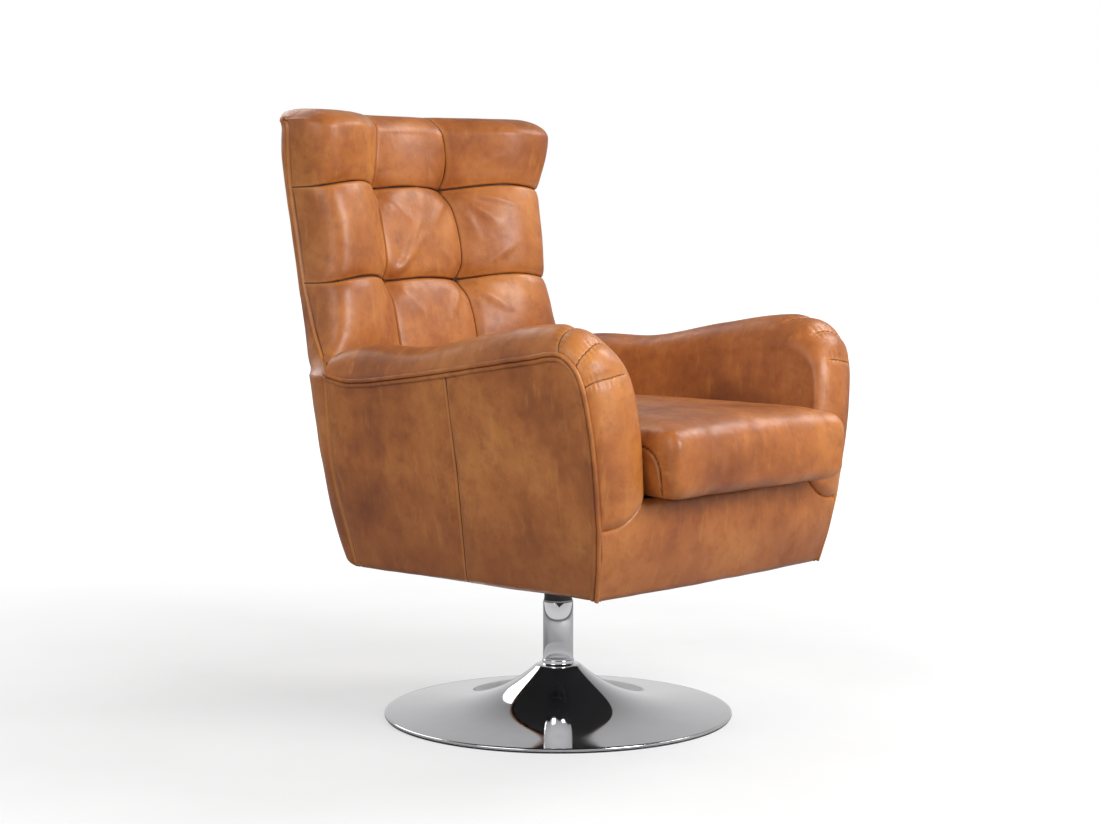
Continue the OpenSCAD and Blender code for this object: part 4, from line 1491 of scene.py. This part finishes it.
@dataclass
class Fold:
    """A soft fold in the leather, in the plane of X and Z, in millimetres."""

    start: tuple[float, float]
    end: tuple[float, float]
    width: float = 6.0
    rise: float = 2.0

    def height(self, x: float, z: float) -> float:
        """Height of the fold at a place.

        Args:
            x: Place across.
            z: Place up.

        Returns:
            The height in millimetres.
        """
        a, b = Vector(self.start), Vector(self.end)
        run = b - a
        share = (Vector((x, z)) - a).dot(run) / run.length_squared
        if not 0 < share < 1:
            return 0.0
        off = (Vector((x, z)) - a - run * share).length
        return self.rise * near(off, self.width) * math.sin(math.pi * share**0.7)


@dataclass
class Stretch:
    """A stretch of the pad's height, with its share of the grid's rows."""

    first: float
    last: float
    low: float
    high: float
    ease: Callable[[float], float]

    def holds(self, v: float) -> bool:
        """Whether a share of the grid lies in the stretch."""
        return self.first <= v <= self.last

    def z(self, v: float) -> float:
        """Height at a share of the grid."""
        return self.low + (self.high - self.low) * self.ease((v - self.first) / (self.last - self.first))


@dataclass
class Back:
    """The tufted pad, which rolls over the top, and the outer back behind it."""

    planes: BodyPlanes
    roll_lift: float = 34.0
    foot_z: float = 430.0
    slope: float = 0.235
    tuft_reach: float = 308.0
    tuft_half_pitch: float = 85.0
    rows: tuple[float, ...] = (430.0, 556.0, 713.0, 870.0, 999.0)
    crest_share: float = 0.68
    flank: float = 1.12
    roll_square: float = 0.6
    row_puff: float = 11.0
    valley: float = 12.0
    seam_puff: float = 14.0
    seam_lean: float = 6.0
    tuft_dip: float = 12.5
    tuft_wide: float = 20.0
    row_rise: float = 12.0
    middle_rise: float = 6.0
    roll_start: float = 0.82
    roll_end: float = 0.93
    seam_sink: float = 3.6
    row_sink: float = 3.4
    soft_sink: float = 2.4
    sink_wide: float = 2.2
    seam_share: float = 0.3
    crest_start: float = 0.62
    centre_top: float = 386.0
    side_top: float = 322.0
    under: float = 4.0
    leather: float = 2.4
    folds: tuple[Fold, ...] = (
        Fold((-80, 720), (4, 792), 9, 5.5), Fold((-54, 750), (4, 824), 7, 3.6),
        Fold((92, 864), (152, 800), 8, 5.0), Fold((100, 866), (206, 826), 8, 3.6),
        Fold((98, 850), (120, 770), 7, 2.6), Fold((-98, 856), (-150, 800), 8, 2.6),
        Fold((74, 858), (16, 796), 8, 2.6), Fold((-72, 856), (-20, 806), 8, 3.4),
        Fold((76, 724), (30, 775), 8, 2.6), Fold((104, 722), (180, 772), 9, 3.0),
        Fold((-104, 722), (-165, 764), 8, 2.6), Fold((72, 700), (25, 632), 8, 2.6),
        Fold((-72, 700), (-26, 640), 8, 3.2), Fold((100, 702), (160, 646), 9, 3.4),
        Fold((-104, 702), (-160, 652), 9, 2.8), Fold((100, 884), (166, 930), 8, 2.6),
        Fold((-100, 884), (-156, 932), 8, 2.6), Fold((70, 886), (30, 934), 8, 2.0),
    )
    rear_y: Table = field(init=False)
    corner: Table = field(init=False)
    centre_crest: Table = field(init=False)
    side_crest: Table = field(init=False)
    half_pitch: Table = field(init=False)
    turns: list[float] = field(init=False)
    stretches: tuple[Stretch, ...] = field(init=False)

    def __post_init__(self) -> None:
        """Draws the outlines of the back by height."""
        p = self.planes
        arm, top, low = p.arm_top_z, p.top_z, p.underside_z
        self.rear_y = Table([
            (low, 228), (low + 12, 243), (low + 163, 315), (low + 298, 345), (680, 370), (770, 385),
            (880, 400), (top - 34, 417), (top - 12, 418), (top, 406),
        ])
        self.corner = Table([
            (low, 4), (low + 169, 2.3), (arm - 94, 2.3), (arm - 60, 3), (878, 3), (top - 34, 2.3),
        ])
        self.centre_crest = Table([
            (430, 240), (500, 246), (607, 266), (713, 292), (870, 328), (top - self.roll_lift, 350),
        ])
        self.side_crest = Table([
            (430, 240), (500, 238), (556, 234), (607, 231), (713, 241), (790, 250), (870, 260),
            (top - self.roll_lift, 252),
        ])
        pitch = self.tuft_half_pitch
        self.half_pitch = Table([(430, pitch + 6), (713, pitch + 3), (870, pitch - 2), (top, pitch - 13)])
        self.turns = self._even_turns()
        first, second, third, fourth, _ = self.rows
        self.stretches = (
            Stretch(0.0, 0.14, first, second, lambda f: f**0.8 if f > 0 else 0.0),
            Stretch(0.14, 0.38, second, third, ends_dense),
            Stretch(0.38, 0.63, third, fourth, ends_dense),
            Stretch(0.63, self.roll_start, fourth, top - self.roll_lift, lambda f: max(0.0, f) ** 1.5),
        )

    def _even_turns(self) -> list[float]:
        """Angles that space points evenly round the side's roll.

        Returns:
            Angles in radians for even shares of the roll's length.
        """
        angles = [math.pi / 2 * i / 2000 for i in range(2001)]
        points = [
            Vector((math.sin(a) ** self.roll_square, 1.5 * (1 - max(0.0, math.cos(a)) ** self.roll_square)))
            for a in angles
        ]
        far = [0.0]
        for a, b in zip(points, points[1:]):
            far.append(far[-1] + (b - a).length)
        found, k = [], 0
        for i in range(201):
            while k < 2000 and far[k] < far[-1] * i / 200:
                k += 1
            found.append(angles[k])
        return found

    def tuft_y(self, z: float) -> float:
        """Distance of the tufts behind the axis at a height."""
        return self.tuft_reach + self.slope * (z - self.planes.arm_top_z)

    def edge(self, z: float) -> tuple[float, float]:
        """Place of the pad's rear edge.

        Args:
            z: Height.

        Returns:
            Half width and distance behind the axis.
        """
        p = self.planes
        free, wide = p.arm_top_z - 100, p.arm_top_z - 82
        spread = min(1.0, max(0.0, (z - free) / (wide - free)))
        spread = spread * spread * (3 - 2 * spread)
        seam_x, seam_y = p.rear_seam(max(z, p.side_top_z + 12))
        tucked = self.tuft_y(self.foot_z) + 4
        return (
            (1 - spread) * p.inner_x(min(z, free)) + spread * seam_x - 1.0,
            (1 - spread) * tucked + spread * seam_y - 1.0,
        )

    def shell_y(self, x: float, z: float) -> float:
        """Distance of the outer back behind the axis.

        Args:
            x: Place across.
            z: Height.

        Returns:
            The place along Y.
        """
        half, near_y = self.planes.rear_seam(z)
        e = self.corner.at(z)
        share = min(1.0, abs(x) / half)
        return near_y + (self.rear_y.at(z) - near_y) * (1 - share**e) ** (1 / e)

    def row_share(self, z: float) -> float:
        """How puffed the pad is at a height.

        Args:
            z: Height.

        Returns:
            The share, from 0 at a seam to 1 in the middle of a cell.
        """
        for low, high in zip(self.rows, self.rows[1:]):
            if z <= high:
                f = (z - low) / (high - low)
                return max(0.0, 4 * f * (1 - f)) ** 0.6
        return 0.0

    def plan(self, z: float, across: float, turn: float) -> tuple[float, float, float]:
        """Plan of the pad's face at a height.

        Args:
            z: Height.
            across: From -1 at the right edge to 1 at the left.
            turn: How far the face has rolled over the top, from 0 to a quarter turn.

        Returns:
            X, Y and the distance from the nearest vertical seam.
        """
        q = self.row_share(z)
        back = 1 - math.cos(turn)
        vx = self.half_pitch.at(z) + self.seam_lean * q
        vy = self.tuft_y(min(z, 900.0)) - self.valley - self.seam_puff * q * (1 - back)
        centre = self.centre_crest.at(z) + self.row_puff * (1 - q)
        centre += (self.centre_top - centre) * back
        vy += (self.centre_top + 4 - vy) * back
        sign, a = (1 if across >= 0 else -1), abs(across)
        if a < self.seam_share:
            t = 1 - (1 - a / self.seam_share) ** 1.6
            x = vx * t
            y = vy + (centre - vy) * math.cos(math.pi / 2 * t) ** self.flank
            return sign * x, y, vx - x
        side = self.side_crest.at(z) + self.row_puff * (1 - q)
        side += (self.side_top - side) * back
        ex, ey = self.edge(z)
        cx = vx + self.crest_share * (ex - vx)
        if a < self.crest_start:
            t = ((a - self.seam_share) / (self.crest_start - self.seam_share)) ** 1.6
            x = vx + (cx - vx) * t
            y = vy + (side - vy) * math.sin(math.pi / 2 * t) ** self.flank
            return sign * x, y, x - vx
        spot = (a - self.crest_start) / (1 - self.crest_start) * 200
        k = min(199, int(spot))
        t = self.turns[k] + (self.turns[k + 1] - self.turns[k]) * (spot - k)
        x = cx + (ex - cx) * math.sin(t) ** self.roll_square
        y = side + (max(ey, side + 6) - side) * (1 - max(0.0, math.cos(t)) ** self.roll_square)
        tuck = max(0.0, (a - 0.985) / 0.015)
        return sign * (x - 4 * tuck), y + 3 * tuck, 99.0

    def rise(self, x: float, z: float) -> float:
        """How far the rows bow upwards between the tufts.

        Args:
            x: Place across.
            z: Height.

        Returns:
            The rise in millimetres.
        """
        vx, ex = self.half_pitch.at(z), self.edge(z)[0]
        fade = min(1.0, max(0.0, (z - self.foot_z) / 60))
        fade *= min(1.0, max(0.0, (self.planes.top_z - z) / 90))
        if abs(x) < vx:
            return self.middle_rise * fade * math.cos(math.pi / 2 * x / vx)
        share = min(1.0, (abs(x) - vx) / (ex - vx))
        return self.row_rise * fade * math.sin(math.pi * share)

    def pad_place(self, u: float, v: float) -> Spot:
        """Point of the pad's leather and its seam.

        Args:
            u: Share across.
            v: Share up the face, over the roll and back along the top.

        Returns:
            The point in millimetres and the seam value, which also carries painted shade at the tufts.
        """
        across, top, turn = 2 * u - 1, self.planes.top_z, 0.0
        if v < self.roll_start:
            z = next(s for s in self.stretches if s.holds(v)).z(v)
        else:
            turn = min(1.0, (v - self.roll_start) / (self.roll_end - self.roll_start)) * math.pi / 2
            z = top - self.roll_lift * (1 - math.sin(turn))
        x, y, off = self.plan(z, across, turn)
        seam = seam_tone(off)
        sink = self.seam_sink * near(off, self.sink_wide) + self.soft_sink * near(off, 9)
        for row in self.rows[1:4]:
            far = abs(z - row)
            apart = math.hypot(off, far)
            # near(apart, 5.0) paints shade into the seam layer: a dark spot at each tuft, where the pinch
            # lies in shadow.
            seam = max(seam, seam_tone(far), near(apart, 5.0))
            row_sink = self.row_sink * near(far, self.sink_wide) + self.soft_sink * near(far, 10)
            sink = max(sink, row_sink) + self.tuft_dip * near(apart, self.tuft_wide)
        y += sink * math.cos(turn)
        lift = self.rise(x, z)
        if turn == 0:
            y -= sum(fold.height(x, z) for fold in self.folds)
        z += lift * math.cos(turn) - self.planes.ear_drop(x, math.sin(turn))
        if v > self.roll_end:
            f = (v - self.roll_end) / (1 - self.roll_end)
            rear = max(y, self.shell_y(x, top) - 1.0)
            hump = 2.0 * min(1.0, (rear - y) / 30)
            y += (rear - y) * f
            z += hump * math.sin(math.pi * f) - 2.0 * f
        return Vector((x, y, z)), seam

    def build_pad(self, finishes: Finishes) -> None:
        """Builds the tufted pad.

        Args:
            finishes: The chair's materials.
        """
        mesh = Mesh()
        mesh.lay(300, 340, self.pad_place, lambda point: Vector((0, -1, 0.25)))
        mesh.soften(groove=0.4, swell=2.2, seed=41.0)
        piece = leather_piece(
            mesh, "tufted_back", finishes, ["back_cover", "back_foam"], wall=self.leather
        )

    def build_outer(self, finishes: Finishes) -> None:
        """Builds the outer back.

        Args:
            finishes: The chair's materials.
        """
        p = self.planes
        mesh = Mesh()

        def place(u: float, v: float) -> Spot:
            """Point of the outer back and its seam.

            Args:
                u: Share across, from the left seam to the right one.
                v: Share up the back.

            Returns:
                The point in millimetres and the seam.
            """
            z = p.underside_z + (p.top_z - p.underside_z) * v
            e = 2 / self.corner.at(z)
            t = math.pi * ends_dense(u)
            half, near_y = p.rear_seam(z)
            far_y = self.rear_y.at(z) - p.hem_at(z)
            x = half * power(math.cos(t), e)
            y = near_y + 0.4 + (far_y - near_y) * max(0.0, math.sin(t)) ** e
            off = math.hypot(half - abs(x), y - near_y - 0.4)
            inward = 3.4 * near(off, 2.0) + p.hem_at(z) * abs(math.cos(t))
            y -= self.under * near(off, 1.2)
            rise = max(0.0, 1 - (p.top_z - z) / self.roll_lift)
            drop = p.ear_drop(x, rise) + 2.5 * rise**2
            return Vector((x - math.copysign(inward, x), y, z - drop)), seam_tone(off)

        mesh.lay(170, 190, place, lambda point: Vector((point.x, point.y - 0.2, 0)))
        mesh.soften(groove=0.4, swell=1.8, seed=55.0)
        piece = leather_piece(
            mesh, "outer_back_leather", finishes, ["outer_back"], wall=self.leather
        )
        lines = []
        for sign in (-1, 1):
            heights = [p.underside_z + 4 + (p.top_z - p.underside_z - 20) * i / 200 for i in range(201)]
            seam = [p.rear_seam(z) for z in heights]
            lines.append([Vector((sign * s[0], s[1] + 7, z)) * MM for s, z in zip(seam, heights)])
        StitchRow("stitches_outer_back").sew(lines, piece, finishes.thread, Body.SEAT)

    def build(self, finishes: Finishes) -> None:
        """Builds the back.

        Args:
            finishes: The chair's materials.
        """
        self.build_pad(finishes)
        self.build_outer(finishes)


# Cushion


@dataclass
class SeatCushion:
    """The loose seat cushion: a filled leather cover with a boxed side and gathered front corners."""

    planes: BodyPlanes
    foot_z: float = 405.3
    thick: float = 106.0
    crown: float = 20.0
    start_crown: float = 1.0
    spare_side: float = 9.0
    spare_front: float = 16.0
    front_y: float = -424.5
    rear_y: float = 226.0
    gap: float = 1.5
    wider: float = 3.0
    wider_y: float = -352.0
    wider_run: float = 45.0
    side_r: float = 20.0
    front_r: float = 30.0
    rear_r: float = 20.0
    top_r: float = 36.0
    foot_r: float = 20.0
    draw: float = 4.0
    voxel: float = 6.0
    cap: float = 22.0
    foam_hold: float = 0.62
    steps: int = 20
    passes: int = 5
    seam_end_y: float = -100.0
    seam_inner_x: float = 150.0
    gather_y: float = -386.0
    gather_top_z: float = 490.0
    # The boxed side's seam as Y and the height above the cushion's foot
    seam_keys: tuple[tuple[float, float], ...] = (
        (-120, 80), (-300, 80), (-350, 78), (-374, 71), (-386, 56), (-389, 38), (-388, 20), (-384, 6),
    )

    def half(self, y: float, z: float) -> float:
        """Half width of the cushion at a place. It swells a little in front of the arms."""
        ahead = min(1.0, max(0.0, (self.wider_y - y) / self.wider_run))
        return self.planes.inner_x(z) - self.gap + self.wider * ahead * ahead * (3 - 2 * ahead)

    def _shape(self, bm: bmesh.types.BMesh, unfilled: bool) -> None:
        """Turns a subdivided cube into the cushion's form, with an edge radius for each side.

        Args:
            bm: The cube, from -1 to 1.
            unfilled: Whether it is the flat form before filling, which then draws in its sides.
        """
        draw, crown = (self.draw, self.start_crown) if unfilled else (0.5, self.crown)
        front_y = self.front_y - (self.spare_front if unfilled else 0.0)
        middle = Vector((0, (front_y + self.rear_y) / 2, self.foot_z + self.thick / 2))
        size = Vector((self.half(0, middle.z), (self.rear_y - front_y) / 2, self.thick / 2))
        for vert in bm.verts:
            radii = (
                self.side_r,
                self.front_r if vert.co.y < 0 else self.rear_r,
                self.top_r if vert.co.z > 0 else self.foot_r,
            )
            flat = [n * s for n, s in zip(vert.co, size)]
            core = [max(r - s, min(s - r, f)) for f, s, r in zip(flat, size, radii)]
            away = Vector([(f - k) / r for f, k, r in zip(flat, core, radii)]).normalized()
            spot = Vector([k + d * (r - draw) for k, d, r in zip(core, away, radii)])
            dome = (1 - (spot.x / size.x) ** 2) * (1 - (spot.y / size.y) ** 2) ** 0.8
            up = max(0.0, spot.z / size.z)
            place = middle + spot
            place.x *= (self.half(place.y, place.z) + (self.spare_side if unfilled else 0.0)) / size.x
            place.z += crown * dome * up * up
            vert.co = place * MM

    def _clamp(self, bm: bmesh.types.BMesh) -> None:
        """Keeps the cover between its neighbours.

        Args:
            bm: The cushion.
        """
        for vert in bm.verts:
            x, y, z = vert.co / MM
            z = min(max(z, self.foot_z), self.foot_z + self.thick + self.crown + 5)
            y = min(max(y, self.front_y - 4), self.rear_y)
            half = self.half(y, z) - 0.2
            x = min(max(x, -half), half)
            vert.co = Vector((x, y, z)) * MM

    def _foam_place(self, spot: Vector) -> Vector:
        """Where the foam inside would hold a place of the unfilled cover.

        Args:
            spot: Place on the unfilled cover, in metres.

        Returns:
            Its place on the full cushion, in metres.
        """
        x, y, z = spot / MM
        rear, front = self.rear_y - self.draw, self.front_y - self.spare_front + self.draw
        share = (rear - y) / (rear - front)
        deep = self.rear_y - share * (self.rear_y - self.front_y)
        middle = self.foot_z + self.thick / 2
        high = middle + (z - middle) * (self.thick / 2) / (self.thick / 2 - self.draw)
        width = self.half(deep, high)
        wide = x * width / (self.half(y, z) + self.spare_side - self.draw)
        along, across = min(1.0, abs(2 * share - 1)), min(1.0, abs(wide) / width)
        up = min(1.0, max(0.0, 2 * (high - middle) / self.thick))
        high += (self.crown - self.start_crown) * (1 - across**2) * (1 - along**2) ** 0.8 * up * up
        return Vector((wide, deep, high)) * MM

    def _swell(self, piece: bpy.types.Object) -> None:
        """Fills the cover by cloth simulation and applies the result.

        Args:
            piece: The cover, remeshed.
        """
        scene = bpy.context.scene
        start = [v.co.copy() for v in piece.data.vertices]
        cloth = piece.modifiers.new("filling", "CLOTH")
        cloth.settings.use_pressure = True
        cloth.settings.uniform_pressure_force = 4
        cloth.settings.effector_weights.gravity = 0
        cloth.settings.quality = 5
        cloth.point_cache.frame_start = 1
        cloth.point_cache.frame_end = self.steps
        for number in range(1, self.steps + 1):
            scene.frame_set(number)
        swollen = take_applied(piece)
        for vert, old in zip(swollen.vertices, start):
            move = vert.co - old
            if move.length > self.cap * MM:
                vert.co = old + move.normalized() * self.cap * MM
            vert.co = vert.co.lerp(self._foam_place(old), self.foam_hold)
        old_data = piece.data
        piece.data = swollen
        bpy.data.meshes.remove(old_data)
        scene.frame_set(1)

    def seam_line(self, hand: Hand) -> list[Vector]:
        """Line of the boxed side's seam, forward along the side and down the front corner.

        Args:
            hand: Side of the chair.

        Returns:
            The points in metres.
        """
        points = []
        for q in SmoothLine(self.seam_keys).points(0, len(self.seam_keys) - 1, 160):
            z = self.foot_z + q.y
            points.append(Vector((hand.value * (self.half(q.x, z) - 1), q.x, z)) * MM)
        return points

    def build(self, finishes: Finishes) -> None:
        """Builds the cushion and its seams.

        Args:
            finishes: The chair's materials.
        """
        bm = bmesh.new()
        bmesh.ops.create_cube(bm, size=2)
        bmesh.ops.subdivide_edges(bm, edges=bm.edges[:], cuts=47, use_grid_fill=True)
        self._shape(bm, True)
        data = bpy.data.meshes.new("cushion_cover")
        bm.to_mesh(data)
        bm.free()
        piece = put_in_scene("cushion_cover", data)
        remesh = piece.modifiers.new("remesh", "REMESH")
        remesh.mode = "VOXEL"
        remesh.voxel_size = self.voxel * MM
        piece.data = take_applied(piece)
        bpy.data.meshes.remove(data)
        self._swell(piece)
        self._finish(piece, finishes)

    def _finish(self, piece: bpy.types.Object, finishes: Finishes) -> None:
        """Smooths the cover, sinks its seams and sews them.

        Args:
            piece: The filled cover.
            finishes: The chair's materials.
        """
        mesh = Mesh()
        mesh.bm.from_mesh(piece.data)
        mesh.seam = mesh.bm.verts.layers.float.get("seam") or mesh.bm.verts.layers.float.new("seam")
        self._clamp(mesh.bm)
        for _ in range(self.passes):
            bmesh.ops.smooth_vert(
                mesh.bm, verts=mesh.bm.verts, factor=0.5, use_axis_x=True, use_axis_y=True, use_axis_z=True
            )
        bmesh.ops.subdivide_edges(mesh.bm, edges=mesh.bm.edges[:], cuts=1, use_grid_fill=True, smooth=1.0)
        lines = [self.seam_line(hand) for hand in (Hand.RIGHT, Hand.LEFT)]
        reach = [p for line in lines for p in line][::2]
        for vert in mesh.bm.verts:
            if vert.co.y > self.seam_end_y * MM or abs(vert.co.x) < self.seam_inner_x * MM:
                continue
            off = min(math.hypot(vert.co.y - p.y, vert.co.z - p.z) for p in reach) / MM
            vert[mesh.seam] = seam_tone(off, 1.7)
            vert.co.x -= math.copysign(1.6 * near(off, 3) * MM, vert.co.x)
            if vert.co.y < self.gather_y * MM and vert.co.z < self.gather_top_z * MM:
                gather = near(off - 9, 9) * 1.5 * math.sin(vert.co.z * 830 + 2 * math.sin(vert.co.z * 190))
                vert.co += Vector((-math.copysign(0.6, vert.co.x), 0.8, 0)) * gather * MM
        mesh.soften(groove=1.6, swell=1.3, seed=63.0)
        self._clamp(mesh.bm)
        name = piece.name
        old = piece.data
        bpy.data.objects.remove(piece)
        bpy.data.meshes.remove(old)
        nodes = ["seat_cushion", "cushion_core", "cushion_underside"]
        cover = leather_piece(mesh, name, finishes, nodes, body=Body.CUSHION)
        rows = [
            [p + Vector((0, shift, -shift)) for p in line] for line in lines for shift in (-0.003, 0.005)
        ]
        row = StitchRow("stitches_cushion", pitch=4.0, length=2.7, thick=0.7, lift=0.1)
        row.sew(rows, cover, finishes.thread, Body.CUSHION)


# Studio


@dataclass
class Lamp:
    """A soft lamp that looks at the chair."""

    name: str
    place: Axes
    watts: float
    size: float
    aim: Axes = (0.0, 0.0, 0.5)

    def hang(self) -> None:
        """Hangs the lamp."""
        data = bpy.data.lights.new(self.name, "AREA")
        data.energy = self.watts
        data.size = self.size
        lamp = put_in_scene(self.name, data)
        lamp.location = self.place
        lamp.rotation_euler = (Vector(self.aim) - Vector(self.place)).to_track_quat("-Z", "Y").to_euler()


@dataclass
class Studio:
    """A pale floor, soft light and the camera."""

    camera_place: Axes = (-2.64145, -2.36025, 0.78455)
    camera_tilt: float = 85.437
    camera_turn: float = -48.0
    lens: float = 70.76
    sensor: float = 36.0
    floor_half: float = 20.0
    floor_tones: tuple[float, float] = (0.42, 0.45)
    fade_start: float = 0.7
    fade_end: float = 4.5
    floor_lift: float = 0.47
    down_at: float = -0.62
    level_at: float = -0.08
    down_light: float = 0.26
    level_light: float = 0.72
    lamps: tuple[Lamp, ...] = (
        Lamp("key_lamp", (-0.1, -3.0, 1.9), watts=88, size=1.3),
        Lamp("side_lamp", (-3.0, -0.2, 1.8), watts=32, size=1.7),
        Lamp("right_lamp", (2.0, -0.9, 2.7), watts=42, size=1.3),
        Lamp("rear_lamp", (0.6, 3.0, 2.4), watts=34, size=2.0),
    )

    def build(self) -> None:
        """Builds the studio."""
        scene = bpy.context.scene
        scene.view_settings.view_transform = "Standard"
        data = bpy.data.cameras.new("camera")
        data.lens = self.lens
        data.sensor_width = self.sensor
        camera = put_in_scene("camera", data)
        camera.location = self.camera_place
        camera.rotation_euler = (math.radians(self.camera_tilt), 0, math.radians(self.camera_turn))
        scene.camera = camera
        self._world()
        self._floor()
        for lamp in self.lamps:
            lamp.hang()

    def _world(self) -> None:
        """Lights the room, paler towards the horizon, and shows white to the eye."""
        world = bpy.data.worlds.new("room")
        bpy.context.scene.world = world
        world.use_nodes = True
        tree = world.node_tree
        back = tree.nodes["Background"]
        back.inputs["Color"].default_value = (1, 1, 1, 1)
        view = tree.nodes.new("ShaderNodeNewGeometry")
        parts = tree.nodes.new("ShaderNodeSeparateXYZ")
        band = tree.nodes.new("ShaderNodeMapRange")
        band.inputs["From Min"].default_value = self.down_at
        band.inputs["From Max"].default_value = self.level_at
        band.inputs["To Min"].default_value = self.down_light
        band.inputs["To Max"].default_value = self.level_light
        path = tree.nodes.new("ShaderNodeLightPath")
        strength = tree.nodes.new("ShaderNodeMapRange")
        strength.inputs["To Max"].default_value = 1.0
        tree.links.new(view.outputs["Incoming"], parts.inputs[0])
        tree.links.new(parts.outputs["Z"], band.inputs["Value"])
        tree.links.new(band.outputs["Result"], strength.inputs["To Min"])
        tree.links.new(path.outputs["Is Camera Ray"], strength.inputs["Value"])
        tree.links.new(strength.outputs["Result"], back.inputs["Strength"])

    def _floor(self) -> None:
        """Lays the pale floor."""
        bench = NodeBench("pale_floor")
        speck = bench.noise(3, 5)
        dull, pale = ((tone, tone, tone) for tone in self.floor_tones)
        bench.link(bench.ramp(speck, [(0.3, dull), (0.7, pale)]), bench.shader.inputs["Base Color"])
        bench.set(Roughness=0.9, Specular_IOR_Level=0.1)
        away = bench.add("ShaderNodeVectorMath", operation="LENGTH")
        bench.link(bench.place, away.inputs[0])
        glow = bench.span(away.outputs["Value"], self.floor_lift, 1.0, self.fade_start, self.fade_end)
        seen = bench.add("ShaderNodeMath", operation="MULTIPLY")
        bench.link(glow, seen.inputs[0])
        bench.link(bench.add("ShaderNodeLightPath").outputs["Is Camera Ray"], seen.inputs[1])
        bench.shader.inputs["Emission Color"].default_value = (1, 1, 1, 1)
        bench.link(seen.outputs[0], bench.shader.inputs["Emission Strength"])
        bm = bmesh.new()
        bmesh.ops.create_grid(bm, x_segments=2, y_segments=2, size=self.floor_half)
        data = bpy.data.meshes.new("floor")
        bm.to_mesh(data)
        bm.free()
        data.materials.append(bench.material)
        floor = put_in_scene("floor", data)


def main() -> None:
    """Builds the studio and the chair, and reports each piece."""
    logging.basicConfig(level=logging.INFO, format="%(name)s: %(message)s")
    Studio().build()
    finishes = Finishes()
    finishes.dress_cad()
    planes = BodyPlanes()
    SwivelFoot().build(finishes)
    Sides(planes).build(finishes)
    Arms(planes).build(finishes)
    FrontPanel(planes).build(finishes)
    Back(planes).build(finishes)
    SeatCushion(planes).build(finishes)


if __name__ == "__main__":
    main()
